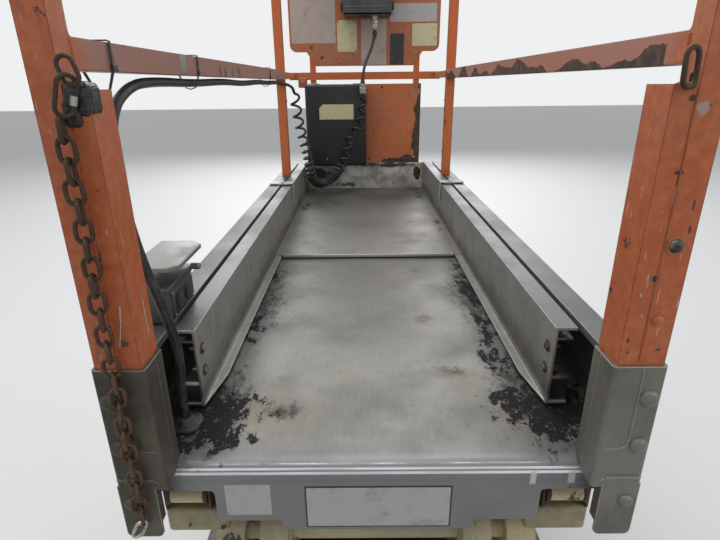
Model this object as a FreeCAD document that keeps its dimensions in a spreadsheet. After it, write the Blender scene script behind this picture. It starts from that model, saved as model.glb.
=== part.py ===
"""Slab scissor lift with a roll-out platform extension.

All lengths are in millimetres and all angles in degrees. +X is the machine's right side, +Y is forward
(the way the extension rolls out) and +Z is up. The origin is on the floor, under the centre of the machine.
The lift is drawn lowered, with the extension rolled in.
"""
import FreeCAD, Part
import math
import os
from types import SimpleNamespace

import Sketcher

os.makedirs("parts", exist_ok=True)
document = FreeCAD.newDocument("ScissorLift")
vector = FreeCAD.Vector

# Driving dimensions
SIZES = {
    # Overall
    "overall_length": 1972,
    "guard_height": 1100,
    "chain_room": 22,
    "running_gap": 0.05,
    # Chassis
    "chassis_ends": 172,
    "chassis_width": 750,
    "chassis_bottom": 95,
    "top_plate_bottom": 432,
    "top_plate": 8,
    "spine_inset": 185,
    "nose_inset": 65,
    "nose_behind_axle": 200,
    "nose_before_axle": 30,
    "end_plate_bottom": 150,
    "end_plate": 8,
    "end_corner": 40,
    "tie_down_radius": 16,
    "tie_down_inset": 85,
    "tie_down_height": 390,
    # Wheels and steering
    "wheelbase_ends": 592,
    "wheel_radius": 161.5,
    "wheel_width": 100,
    "wheel_inset": 95,
    "rim_radius": 112,
    "rim_web": 22,
    "rim_wall": 10,
    "stub_radius": 25,
    "stub_inset": 25,
    "hub_radius": 48,
    "hub_flange_radius": 62,
    "kingpin_inset": 105,
    "kingpin_radius": 20,
    "kingpin_housing_radius": 36,
    "kingpin_housing_depth": 60,
    "knuckle_head_bottom": 343,
    "knuckle_head": 20,
    "knuckle_plate": 18,
    "knuckle_plate_length": 110,
    "wheel_to_knuckle": 6,
    "steering_arm": 100,
    "tie_rod_radius": 11,
    "tie_rod_pin_radius": 9,
    "tie_rod_eye": 20,
    "tie_rod_eye_height": 24,
    # Swing-out trays and their bulkheads
    "bulkhead": 10,
    "bulkhead_from_rear_axle": 206,
    "bulkhead_from_front_axle": 220,
    "bulkhead_shoulder_inset": 19,
    "bulkhead_foot": 127,
    "tray_hinge_inset": 7,
    "tray_hinge_radius": 8,
    "tray_pin_radius": 4,
    "tray_hinge_bottom": 200,
    "tray_hinge_top": 350,
    "tray_lug": 18,
    "tray_rear_gap": 16,
    "tray_front_gap": 25,
    "tray_spine_gap": 6,
    "tray_inset": 5,
    "tray_bottom": 130,
    "tray_top": 426,
    "tray_wall": 6,
    "tray_end_height": 170,
    "tray_inner_lip": 36,
    "battery_count": 4,
    "battery_gap": 19,
    "battery_height": 235,
    "guard_hinge_inset": 11,
    "guard_hinge_height": 109,
    "guard_pin_radius": 6,
    "guard_plate": 8,
    "guard_width": 84,
    # Scissor stack
    "levels": 4,
    "arm_ends": 372,
    "arm_pitch": 85,
    "base_pivot": 490,
    "rear_pivot_place": 171,
    "arm_gap": 9,
    "pin_radius": 19,
    "outer_arm_near": 225,
    "outer_arm_far": 275,
    "inner_arm_near": 150,
    "inner_arm_far": 200,
    "tie_tube_radius": 25,
    "tie_tube_rear": 400,
    "tie_tube_setback": 350,
    "lowest_tie_tube_share": 0.5375,
    "second_tie_tube": 140,
    "bracket_near": 278,
    "bracket_plate": 20,
    "roller_radius": 25,
    "roller_width": 38,
    "roller_side_gap": 2,
    "base_track_near": 96,
    "base_track_far": 146,
    "platform_track_near": 280,
    "platform_track_far": 312,
    "track_wall": 5,
    "track_gap": 0.3,
    "track_run_off": 38,
    "lift_top_angle": 54.045,
    # Lift cylinder
    "barrel_seat_share": 0.15,
    "barrel_shaft_radius": 20,
    "barrel_radius": 45,
    "barrel_eye_radius": 38,
    "barrel_eye_width": 60,
    "barrel_short_of_seat": 120,
    "rod_seat_share": 0.5875,
    "rod_seat_lift": 60,
    "rod_radius": 22,
    "rod_eye_radius": 30,
    "rod_eye_width": 50,
    "rod_pin_radius": 14,
    "rod_short_of_seat": 150,
    "rod_bore_depth": 5,
    "rod_lug_gap": 1,
    "rod_lug": 12,
    "pin_head_radius": 20,
    "pin_head": 6,
    "rod_tube_ahead": 106,
    "rod_tube_lift": 18,
    "rod_tube_radius": 20,
    # Platform
    "deck_ends": 102,
    "deck_above_arms": 32,
    "deck_sheet": 4,
    "deck_half_width": 364,
    "deck_bend": 15,
    "deck_front_margin": 5,
    "apron_centre_half": 140,
    "apron_centre_drop": 118,
    "apron_step_half": 235,
    "apron_step_drop": 100,
    "apron_notch_drop": 43,
    "channel_height": 147,
    "channel_sheet": 3.5,
    "outer_channel_near": 324,
    "outer_channel_far": 368,
    "channel_lip": 12,
    "hold_down_length": 50,
    "hold_down_setback": 580,
    "hold_down_reach": 292,
    "hold_down_sheet": 4,
    "cross_member_depth": 22,
    "cross_member_width": 40,
    "cross_member_start": 329,
    "cross_member_ends": 750,
    "cross_member_count": 5,
    "side_member": 4,
    "hinge_bracket_near": 227,
    "hinge_bracket_far": 273,
    "hinge_bracket_length": 70,
    "hinge_bracket_below": 32,
    # Guard rails
    "tube": 32,
    "tube_bore": 28,
    "rail_near": 314,
    "post_gap": 3,
    "mid_rail_height": 519,
    "post_below_deck": 85,
    "stub_near": 289,
    "stub_depth": 50,
    "stub_height": 500,
    "stub_notch": 3,
    "rail_corner": 90,
    "mid_corner": 5,
    "far_post_setback": 360,
    "socket_sheet": 5,
    "socket_below_deck": 90,
    "socket_height": 180,
    "socket_wrap_below": 5,
    "socket_foot_near": 300,
    "socket_foot_corner": 9,
    # Roll-out extension
    "extension_travel": 900,
    "inner_channel_near": 281,
    "inner_channel_far": 315,
    "inner_channel_sheet": 5,
    "inner_channel_rear": 133,
    "inner_channel_lift": 6,
    "inner_channel_drop": 1,
    "skid_near": 266,
    "skid_start": 227,
    "wear_block_length": 60,
    "wear_block_height": 40,
    "wear_gap": 0.3,
    "extension_length": 1000,
    "toe_board": 140,
    "sheet": 3,
    "panel_overhang": 10,
    "front_post_half": 250,
    "front_post_width": 25,
    "nested_tube": 25,
    "nested_reach": 1000,
    "nested_gap": 1,
    "lower_panel_left": 270,
    "lower_panel_right": 260,
    "lower_panel_top": 500,
    "upper_panel_half": 336,
    "upper_panel_step": 262,
    "upper_panel_middle": 221,
    "upper_panel_low": 577,
    "upper_panel_high": 636,
    "upper_panel_corner": 30,
    "manual_box_right": 6,
    "manual_box_depth": 90,
    "manual_box_corner": 12,
    "control_box_centre": 12,
    "control_box_width": 204,
    "control_box_depth": 120,
    "control_box_bottom": 775,
    "control_box_height": 200,
    "control_box_slope": 45,
    "gland_radius": 16,
    "gland_height": 45,
    # Fittings
    "outlet_box_near": 322,
    "outlet_box_width": 56,
    "outlet_box_rear": 150,
    "outlet_box_length": 120,
    "outlet_box_height": 62,
    "outlet_lid_width": 76,
    "outlet_lid_length": 140,
    "outlet_lid_sheet": 5,
    "outlet_lid_height": 238,
    "grommet_radius": 27,
    "grommet_height": 9,
    "grommet_across": -300,
    "grommet_place": 94,
    "cable_radius": 7,
    "control_cable_radius": 6,
    "coil_radius": 20,
    "cord_gap": 0.5,
    "grommet_gap": 1,
    "link_wire": 5,
    "link_length": 31,
    "link_width": 22,
    "chain_links": 25,
    "chain_across": -314,
    "chain_eye_height": 464,
    # Access ladder
    "ladder_half_width": 180,
    "ladder_stile": 18,
    "ladder_gap": 24,
    "ladder_depth": 32,
    "ladder_bottom": 160,
    "ladder_top": 760,
    "ladder_rung_radius": 12,
    "ladder_first_rung": 230,
    "ladder_rung_pitch": 200,
    "ladder_rungs": 3,
    "ladder_foot_low": 200,
    "ladder_foot_high": 380,
    "ladder_foot": 40,
}


def write_sheet(sizes):
    """Puts each driving dimension in a spreadsheet cell of its own, with its name as the alias."""
    sheet = document.addObject("Spreadsheet::Sheet", "Sizes")
    for row, (alias, number) in enumerate(sizes.items(), start=1):
        sheet.set(f"A{row}", alias)
        sheet.set(f"B{row}", str(number))
        sheet.setAlias(f"B{row}", alias)
    document.recompute()
    return sheet


# Sizes that carry both their number and the formula on the sheet
def text_of(term):
    return term.formula if isinstance(term, Size) else repr(term)


def number_of(term):
    return term.number if isinstance(term, Size) else term


class Size:
    """A length or an angle: a formula on the sheet's cells, and the number that it comes to."""

    def __init__(self, formula, number):
        self.formula = formula
        self.number = number

    def __add__(self, other):
        return Size(f"({self.formula} + {text_of(other)})", self.number + number_of(other))

    def __radd__(self, other):
        return Size(f"({text_of(other)} + {self.formula})", number_of(other) + self.number)

    def __sub__(self, other):
        return Size(f"({self.formula} - {text_of(other)})", self.number - number_of(other))

    def __rsub__(self, other):
        return Size(f"({text_of(other)} - {self.formula})", number_of(other) - self.number)

    def __mul__(self, other):
        return Size(f"{self.formula} * {text_of(other)}", self.number * number_of(other))

    def __rmul__(self, other):
        return Size(f"{text_of(other)} * {self.formula}", number_of(other) * self.number)

    def __truediv__(self, other):
        return Size(f"{self.formula} / {text_of(other)}", self.number / number_of(other))

    def __neg__(self):
        return Size(f"(-1 * {self.formula})", -self.number)


def sine(angle):
    return Size(f"sin({angle.formula})", math.sin(math.radians(angle.number)))


def cosine(angle):
    return Size(f"cos({angle.formula})", math.cos(math.radians(angle.number)))


def arc_sine(ratio):
    return Size(f"asin({ratio.formula})", math.degrees(math.asin(ratio.number)))


def arc_tangent(rise, run):
    return Size(f"atan2({text_of(rise)}; {text_of(run)})", math.degrees(math.atan2(number_of(rise), number_of(run))))


def root_of_squares(one, other):
    return Size(
        f"sqrt({text_of(one)} ^ 2 + {text_of(other)} ^ 2)",
        math.hypot(number_of(one), number_of(other)),
    )


sheet = write_sheet(SIZES)
d = SimpleNamespace(**{alias: Size(f"Sizes.{alias}", number) for alias, number in SIZES.items()})

# Lengths and places that follow the overall sizes
half_chassis = d.chassis_width / 2
rear_end = -d.overall_length / 2
d.deck_length = d.overall_length - d.deck_ends
d.chassis_length = d.overall_length - d.chassis_ends
d.wheelbase = d.overall_length - d.wheelbase_ends
d.arm_length = d.overall_length - d.arm_ends
d.arm_depth = d.arm_pitch - d.arm_gap
d.top_pivot = d.base_pivot + d.arm_pitch * d.levels
d.deck_height = d.top_pivot + d.arm_depth / 2 + d.deck_above_arms
d.rear_pivot = rear_end + d.rear_pivot_place
d.ladder_rear = rear_end + d.ladder_gap
d.nose_start = d.wheelbase / 2 - d.nose_behind_axle
d.nose_end = d.wheelbase / 2 + d.nose_before_axle
d.rear_bulkhead = -d.wheelbase / 2 + d.bulkhead_from_rear_axle
d.front_bulkhead = d.wheelbase / 2 - d.bulkhead_from_front_axle
d.tie_down_across = half_chassis - d.tie_down_inset
d.wheel_inner_face = half_chassis - d.wheel_inset
d.stub_end = half_chassis - d.stub_inset
d.kingpin_across = half_chassis - d.kingpin_inset
d.bulkhead_shoulder = half_chassis - d.bulkhead_shoulder_inset
d.tray_hinge_across = half_chassis - d.tray_hinge_inset
d.guard_hinge_across = half_chassis - d.guard_hinge_inset
d.tray_outer = half_chassis - d.tray_inset
d.spine_width = d.chassis_width - d.spine_inset * 2
d.nose_width = d.spine_width - d.nose_inset * 2
d.tray_inner = d.spine_width / 2 + d.tray_spine_gap
d.tray_rear = d.rear_bulkhead + d.tray_rear_gap
d.tray_front = d.front_bulkhead - d.tray_front_gap
d.battery_width = d.tray_outer - d.tray_inner - d.tray_wall * 4
d.battery_pitch = (d.tray_front - d.tray_rear - d.tray_wall * 4) / SIZES["battery_count"]
d.battery_length = d.battery_pitch - d.battery_gap
d.tie_tube_front = d.arm_length - d.tie_tube_setback
d.lowest_tie_tube = d.arm_length * d.lowest_tie_tube_share
d.barrel_seat = d.arm_length * d.barrel_seat_share
d.rod_seat = d.arm_length * d.rod_seat_share
d.rod_tube_seat = d.rod_seat + d.rod_tube_ahead
d.far_post_place = d.deck_length - d.far_post_setback
d.hold_down_place = d.deck_length - d.hold_down_setback
d.panel_place = d.deck_length + d.panel_overhang
d.extension_rear = d.panel_place - d.extension_length
d.nested_rear = d.far_post_place - d.nested_reach
d.cross_member_pitch = (d.deck_length - d.cross_member_ends) / (SIZES["cross_member_count"] - 1)

# Places that several sub-parts share
deck_rear = d.chain_room - d.overall_length / 2 + d.post_gap + d.tube
deck_front = deck_rear + d.deck_length
deck_top = d.deck_height
rail_top = d.deck_height + d.guard_height
rail_far = d.rail_near + d.tube
post_rear = deck_rear - d.tube
mid_rail_bottom = deck_top + d.mid_rail_height
chassis_top = d.top_plate_bottom + d.top_plate
far_post_rear = deck_rear + d.far_post_place - d.tube / 2
far_post_front = far_post_rear + d.tube
panel_rear = deck_rear + d.panel_place
front_tube_rear = panel_rear + d.sheet
channel_top = deck_top + d.channel_height
rear_axle = -d.wheelbase / 2
front_axle = d.wheelbase / 2
knuckle_head_top = d.knuckle_head_bottom + d.knuckle_head
stowed_angle = arc_sine(d.arm_pitch / d.arm_length)
stowed_reach = d.arm_length * cosine(stowed_angle)
raised_reach = d.arm_length * cosine(d.lift_top_angle)
front_pin = d.rear_pivot + stowed_reach
raised_front_pin = d.rear_pivot + raised_reach
deck_bottom = deck_top - d.deck_sheet
cradle = d.pin_radius + d.running_gap


# Shares of the half width that a bar's round end and a rounded corner take
ROUND_END = 0.98
ROUND_CORNER = 0.8


def from_deck_rear(place):
    return deck_rear + place


def above_deck(height):
    return deck_top + height


# Ways of drawing
NORMAL_SIGN = {"XY": 1, "XZ": -1, "YZ": 1}


def bind(thing, prop, value):
    """Ties one property to the sheet when the value has a formula."""
    if isinstance(value, Size):
        thing.setExpression(prop, value.formula)


def pin_point(drawing, geometry, point, across, up):
    """Fixes one point of a drawing at its distances from the drawing's origin."""
    for kind, value in (("DistanceX", across), ("DistanceY", up)):
        index = drawing.addConstraint(Sketcher.Constraint(kind, -1, 1, geometry, point, float(number_of(value))))
        bind(drawing, f"Constraints[{index}]", value)


def draw_circle(drawing, across, up, radius):
    centre = vector(number_of(across), number_of(up), 0)
    circle = drawing.addGeometry(Part.Circle(centre, vector(0, 0, 1), number_of(radius)), False)
    pin_point(drawing, circle, 3, across, up)
    index = drawing.addConstraint(Sketcher.Constraint("Radius", circle, float(number_of(radius))))
    bind(drawing, f"Constraints[{index}]", radius)


def corner_arc(before, corner, after, radius):
    """Returns the tangent arc at a corner, its two ends in order, and whether it turns to the left."""
    arrive = (corner - before).normalize()
    leave = (after - corner).normalize()
    turn = math.acos(max(-1.0, min(1.0, arrive.dot(leave))))
    setback = radius * math.tan(turn / 2)
    left = arrive.cross(leave).z > 0
    start = corner - arrive * setback
    end = corner + leave * setback
    inward = vector(-arrive.y, arrive.x, 0) if left else vector(arrive.y, -arrive.x, 0)
    centre = start + inward * radius
    first, last = (start, end) if left else (end, start)
    angles = [math.atan2(point.y - centre.y, point.x - centre.x) for point in (first, last)]
    arc = Part.ArcOfCircle(Part.Circle(centre, vector(0, 0, 1), radius), angles[0], angles[1])
    return arc, start, end, left


def draw_outline(drawing, corners):
    """Draws a closed outline whose corners are (across, up) or (across, up, radius)."""
    points = [vector(number_of(corner[0]), number_of(corner[1]), 0) for corner in corners]
    radii = [corner[2] if len(corner) > 2 else None for corner in corners]
    count = len(corners)
    arcs = []
    for place in range(count):
        arcs.append(None)
        if radii[place] is not None:
            before, after = points[place - 1], points[(place + 1) % count]
            arcs[place] = corner_arc(before, points[place], after, number_of(radii[place]))
    lines = []
    for place in range(count):
        following = (place + 1) % count
        start = arcs[place][2] if arcs[place] else points[place]
        end = arcs[following][1] if arcs[following] else points[following]
        lines.append(drawing.addGeometry(Part.LineSegment(start, end), False))
    for place in range(count):
        arriving, leaving = lines[place - 1], lines[place]
        if arcs[place] is None:
            drawing.addConstraint(Sketcher.Constraint("Coincident", arriving, 2, leaving, 1))
            pin_point(drawing, leaving, 1, corners[place][0], corners[place][1])
            continue
        arc = drawing.addGeometry(arcs[place][0], False)
        mark = drawing.addGeometry(Part.Point(points[place]), True)
        first, last = (1, 2) if arcs[place][3] else (2, 1)
        drawing.addConstraint(Sketcher.Constraint("Tangent", arriving, 2, arc, first))
        drawing.addConstraint(Sketcher.Constraint("Tangent", arc, last, leaving, 1))
        drawing.addConstraint(Sketcher.Constraint("PointOnObject", mark, 1, arriving))
        drawing.addConstraint(Sketcher.Constraint("PointOnObject", mark, 1, leaving))
        pin_point(drawing, mark, 1, corners[place][0], corners[place][1])
        index = drawing.addConstraint(Sketcher.Constraint("Radius", arc, float(number_of(radii[place]))))
        bind(drawing, f"Constraints[{index}]", radii[place])


def rectangle(left, bottom, right, top):
    return [(left, bottom), (right, bottom), (right, top), (left, top)]


def sided(side, near, far):
    """Orders a near and a far distance from the middle plane as a low and a high coordinate."""
    return (near, far) if side > 0 else (-far, -near)


def mirrored(side, corners):
    """Flips an outline that is drawn for the right side when the side is -1."""
    if side > 0:
        return corners
    return [(-corner[0],) + tuple(corner[1:]) for corner in reversed(corners)]


class Piece:
    """A sub-part: one PartDesign body with its sketches and features."""

    def __init__(self, label):
        self.label = label
        self.body = document.addObject("PartDesign::Body", label)
        self.body.Label = label
        self.count = 0

    def plane(self, name):
        return next(item for item in self.body.Origin.OriginFeatures if item.Role == f"{name}_Plane")

    def axis(self, name):
        return next(item for item in self.body.Origin.OriginFeatures if item.Role == f"{name}_Axis")

    def sketch(self, plane, level, outlines, circles):
        self.count += 1
        drawing = self.body.newObject("Sketcher::SketchObject", f"{self.label}_sketch_{self.count}")
        drawing.AttachmentSupport = [(self.plane(plane), "")]
        drawing.MapMode = "FlatFace"
        offset = level if NORMAL_SIGN[plane] > 0 else -level
        drawing.AttachmentOffset = FreeCAD.Placement(vector(0, 0, number_of(offset)), FreeCAD.Rotation())
        bind(drawing, "AttachmentOffset.Base.z", offset)
        for outline in outlines:
            draw_outline(drawing, outline)
        for circle in circles:
            draw_circle(drawing, *circle)
        return drawing

    def feature(self, kind, drawing, length):
        item = self.body.newObject(f"PartDesign::{kind}", f"{self.label}_{kind.lower()}_{self.count}")
        item.Profile = drawing
        item.Length = number_of(length)
        bind(item, "Length", length)
        drawing.Visibility = False
        return item

    def pad(self, plane, start, end, outlines=(), circles=()):
        """Adds material between two levels along the plane's own axis."""
        level = start if NORMAL_SIGN[plane] > 0 else end
        return self.feature("Pad", self.sketch(plane, level, outlines, circles), end - start)

    def pocket(self, plane, start, end, outlines=(), circles=()):
        """Removes material between two levels, and checks that some was there."""
        document.recompute()
        before = self.body.Shape.Volume
        level = end if NORMAL_SIGN[plane] > 0 else start
        item = self.feature("Pocket", self.sketch(plane, level, outlines, circles), end - start)
        document.recompute()
        if self.body.Shape.Volume >= before:
            raise ValueError(f"{item.Name} removes nothing")
        return item

    def revolve(self, plane, outlines, axis):
        item = self.body.newObject("PartDesign::Revolution", f"{self.label}_revolution")
        item.Profile = self.sketch(plane, 0, outlines, ())
        item.ReferenceAxis = (self.axis(axis), [""])
        item.Angle = 360
        return item

    def place(self, across, along, up, angle=None):
        """Moves the body, and turns it about the X axis where an angle is given."""
        turn = FreeCAD.Rotation(vector(1, 0, 0), number_of(angle) if angle is not None else 0)
        base = vector(number_of(across), number_of(along), number_of(up))
        self.body.Placement = FreeCAD.Placement(base, turn)
        bind(self.body, "Placement.Base.x", across)
        bind(self.body, "Placement.Base.y", along)
        bind(self.body, "Placement.Base.z", up)
        if angle is not None:
            bind(self.body, "Placement.Rotation.Angle", angle)


pieces = []


def piece(label):
    made = Piece(label)
    pieces.append(made.body)
    return made


def side_name(side):
    return "right" if side > 0 else "left"


# Chassis
def spine(chassis):
    """The welded box that carries the lift, narrower between the front wheels."""
    half, nose = d.spine_width / 2, d.nose_width / 2
    rear = d.end_plate - d.chassis_length / 2
    outline = [
        (-half, rear), (half, rear), (half, d.nose_start), (nose, d.nose_start),
        (nose, d.nose_end), (-nose, d.nose_end), (-nose, d.nose_start), (-half, d.nose_start),
    ]
    chassis.pad("XY", d.chassis_bottom, d.top_plate_bottom, [outline])


def make_top_plate():
    """The plate that closes the chassis and carries the scissor stack."""
    plate = piece("top_plate")
    half, end = d.chassis_width / 2, d.chassis_length / 2
    outline = [
        (-half, -end, d.end_corner), (half, -end, d.end_corner),
        (half, end, d.end_corner), (-half, end, d.end_corner),
    ]
    plate.pad("XY", d.top_plate_bottom, chassis_top, [outline])


def make_end_plates():
    """The rear and front plates, with their tie-down holes."""
    plates = piece("end_plates")
    half, end = d.chassis_width / 2, d.chassis_length / 2
    inner = half - d.end_corner
    outline = [
        (-inner, d.end_plate_bottom, d.end_corner), (inner, d.end_plate_bottom, d.end_corner),
        (inner, d.top_plate_bottom), (-inner, d.top_plate_bottom),
    ]
    holes = [(side * d.tie_down_across, d.tie_down_height, d.tie_down_radius) for side in (-1, 1)]
    for start in (-end, end - d.end_plate):
        plates.pad("XZ", start, start + d.end_plate, [outline], holes)


def make_bulkheads():
    """Four plates that close the tray bays, and the barrels that the tray and guard pins turn in."""
    plates = piece("bulkheads")
    for side in (-1, 1):
        outline = [
            (d.spine_width / 2, d.chassis_bottom), (d.chassis_width / 2, d.chassis_bottom),
            (d.chassis_width / 2, d.bulkhead_foot), (d.bulkhead_shoulder, d.bulkhead_foot + d.bulkhead),
            (d.bulkhead_shoulder, d.top_plate_bottom), (d.spine_width / 2, d.top_plate_bottom),
        ]
        hole = (side * d.guard_hinge_across, d.guard_hinge_height, d.guard_pin_radius + d.running_gap)
        for start in (d.rear_bulkhead, d.front_bulkhead):
            plates.pad("XZ", start, start + d.bulkhead, [mirrored(side, outline)], [hole])
    centre = d.rear_bulkhead + d.bulkhead / 2
    for side in (-1, 1):
        leaf = rectangle(d.bulkhead_shoulder, d.rear_bulkhead, d.tray_hinge_across, d.rear_bulkhead + d.bulkhead)
        plates.pad("XY", d.tray_hinge_bottom, d.tray_hinge_top, [mirrored(side, leaf)])
        barrel = (side * d.tray_hinge_across, centre, d.tray_hinge_radius)
        plates.pad("XY", d.tray_hinge_bottom, d.tray_hinge_top, (), [barrel])
        bore = (side * d.tray_hinge_across, centre, d.tray_pin_radius + d.running_gap)
        plates.pocket("XY", d.tray_hinge_bottom, d.tray_hinge_top, (), [bore])


def make_kingpin_housings():
    """The two barrels under the top plate that the kingpins turn in."""
    housings = piece("kingpin_housings")
    for side in (-1, 1):
        across = side * d.kingpin_across
        bottom = d.top_plate_bottom - d.kingpin_housing_depth
        wall = (across, front_axle, d.kingpin_housing_radius)
        bore = (across, front_axle, d.kingpin_radius + d.running_gap)
        housings.pad("XY", bottom, d.top_plate_bottom, (), [wall, bore])


def make_rear_axle():
    """The two stub axles welded to the spine's sides."""
    axle = piece("rear_axle")
    for side in (-1, 1):
        flange = sided(side, d.spine_width / 2, d.wheel_inner_face - d.wheel_to_knuckle)
        axle.pad("YZ", *flange, (), [(rear_axle, d.wheel_radius, d.hub_flange_radius)])
        stub = sided(side, d.spine_width / 2, d.stub_end)
        axle.pad("YZ", *stub, (), [(rear_axle, d.wheel_radius, d.stub_radius)])


def make_arm_mounts():
    """The ears that hold the lowest outer arms' shaft, and the tracks of the lowest inner arms' rollers."""
    mounts = piece("arm_mounts")
    spread = d.arm_depth
    round_end = d.arm_depth / 2
    outline = [
        (d.rear_pivot - spread, chassis_top), (d.rear_pivot + spread, chassis_top),
        (d.rear_pivot + round_end, d.base_pivot + round_end, round_end * ROUND_CORNER),
        (d.rear_pivot - round_end, d.base_pivot + round_end, round_end * ROUND_CORNER),
    ]
    for side in (-1, 1):
        reach = sided(side, d.bracket_near, d.bracket_near + d.bracket_plate)
        mounts.pad("YZ", *reach, [outline], [(d.rear_pivot, d.base_pivot, cradle)])
    low = d.base_pivot - d.roller_radius - d.track_gap
    high = d.base_pivot + d.roller_radius + d.track_gap
    near, far, wall = d.base_track_near, d.base_track_far, d.track_wall
    outline = [
        (near, chassis_top), (far, chassis_top), (far, low), (near + wall, low),
        (near + wall, high), (far, high), (far, high + wall), (near, high + wall),
    ]
    start = raised_front_pin - d.track_run_off
    end = front_pin + d.track_run_off
    for side in (-1, 1):
        mounts.pad("XZ", start, end, [mirrored(side, outline)])


def make_chassis():
    spine(piece("chassis_frame"))
    make_top_plate()
    make_end_plates()
    make_bulkheads()
    make_kingpin_housings()
    make_rear_axle()
    make_arm_mounts()


def make_ladder():
    """The access ladder on the chassis rear plate."""
    ladder = piece("access_ladder")
    front = d.ladder_rear + d.ladder_depth
    wall = -d.chassis_length / 2
    outline = [
        (d.ladder_rear, d.ladder_bottom), (front, d.ladder_bottom),
        (front, d.ladder_foot_low), (wall, d.ladder_foot_low),
        (wall, d.ladder_foot_low + d.ladder_foot), (front, d.ladder_foot_low + d.ladder_foot),
        (front, d.ladder_foot_high), (wall, d.ladder_foot_high),
        (wall, d.ladder_foot_high + d.ladder_foot), (front, d.ladder_foot_high + d.ladder_foot),
        (front, d.ladder_top), (d.ladder_rear, d.ladder_top, d.ladder_depth / 2),
    ]
    inner = d.ladder_half_width - d.ladder_stile
    centre = d.ladder_rear + d.ladder_depth / 2
    ladder.pad("YZ", *sided(1, inner, d.ladder_half_width), [outline])
    for rung in range(SIZES["ladder_rungs"]):
        up = d.ladder_first_rung + d.ladder_rung_pitch * rung
        ladder.pad("YZ", -inner, inner, (), [(centre, up, d.ladder_rung_radius)])
    ladder.pad("YZ", *sided(-1, inner, d.ladder_half_width), [outline])


# Wheels and steering
def make_wheel(name, side, along):
    """A solid tyre on a pressed rim that turns on its stub axle."""
    half = d.wheel_width / 2
    tyre = piece(f"tyre_{name}")
    tyre.revolve("XZ", [[
        (-half, d.rim_radius), (half, d.rim_radius), (half, d.wheel_radius), (-half, d.wheel_radius),
    ]], "X")
    rim = piece(f"rim_{name}")
    inner = d.rim_radius - d.rim_wall
    bore = d.stub_radius + d.running_gap
    face = half - d.rim_web
    rim.revolve("XZ", [[
        (-side * half, inner), (-side * half, d.rim_radius), (side * half, d.rim_radius),
        (side * half, inner), (side * face, inner), (side * face, d.hub_radius),
        (side * half, d.hub_radius), (side * half, bore), (-side * half, bore),
        (-side * half, d.hub_radius), (side * (face - d.rim_wall), d.hub_radius),
        (side * (face - d.rim_wall), inner),
    ]], "X")
    across = side * (d.wheel_inner_face + half)
    tyre.place(across, along, d.wheel_radius)
    rim.place(across, along, d.wheel_radius)


def make_knuckle(side):
    """A kingpin, its head with the steering arm, and the plate that carries the stub axle."""
    knuckle = piece(f"knuckle_{side_name(side)}")
    across, arm = d.kingpin_across, front_axle + d.steering_arm
    head, tip = d.kingpin_housing_radius, d.tie_rod_eye
    outline = [
        (across - head, front_axle - head, head * ROUND_CORNER),
        (across + head, front_axle - head, head * ROUND_CORNER),
        (across + tip, arm + tip, tip * ROUND_CORNER), (across - tip, arm + tip, tip * ROUND_CORNER),
    ]
    hole = (side * across, arm, d.tie_rod_pin_radius + d.running_gap)
    knuckle.pad("XY", d.knuckle_head_bottom, knuckle_head_top, [mirrored(side, outline)], [hole])
    shaft_top = d.top_plate_bottom - d.running_gap
    knuckle.pad("XY", knuckle_head_top, shaft_top, (), [(side * across, front_axle, d.kingpin_radius)])
    outer = d.wheel_inner_face - d.wheel_to_knuckle
    half, low = d.knuckle_plate_length / 2, d.wheel_radius - d.knuckle_plate_length / 2
    plate = [
        (front_axle - half, low, half * ROUND_CORNER), (front_axle + half, low, half * ROUND_CORNER),
        (front_axle + half, d.knuckle_head_bottom), (front_axle - half, d.knuckle_head_bottom),
    ]
    knuckle.pad("YZ", *sided(side, outer - d.knuckle_plate, outer), [plate])
    stub = [(front_axle, d.wheel_radius, d.stub_radius)]
    knuckle.pad("YZ", *sided(side, outer, d.stub_end), (), stub)


def make_tie_rod():
    """The rod between the two steering arms, with a pin through each arm."""
    rod = piece("tie_rod")
    along = front_axle + d.steering_arm
    low = knuckle_head_top + d.rod_lug_gap
    centre = low + d.tie_rod_eye_height / 2
    rod.pad("YZ", -d.kingpin_across, d.kingpin_across, (), [(along, centre, d.tie_rod_radius)])
    for side in (-1, 1):
        eye = [(side * d.kingpin_across, along, d.tie_rod_eye)]
        rod.pad("XY", low, low + d.tie_rod_eye_height, (), eye)
        pin = [(side * d.kingpin_across, along, d.tie_rod_pin_radius)]
        rod.pad("XY", d.knuckle_head_bottom, low, (), pin)


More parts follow.
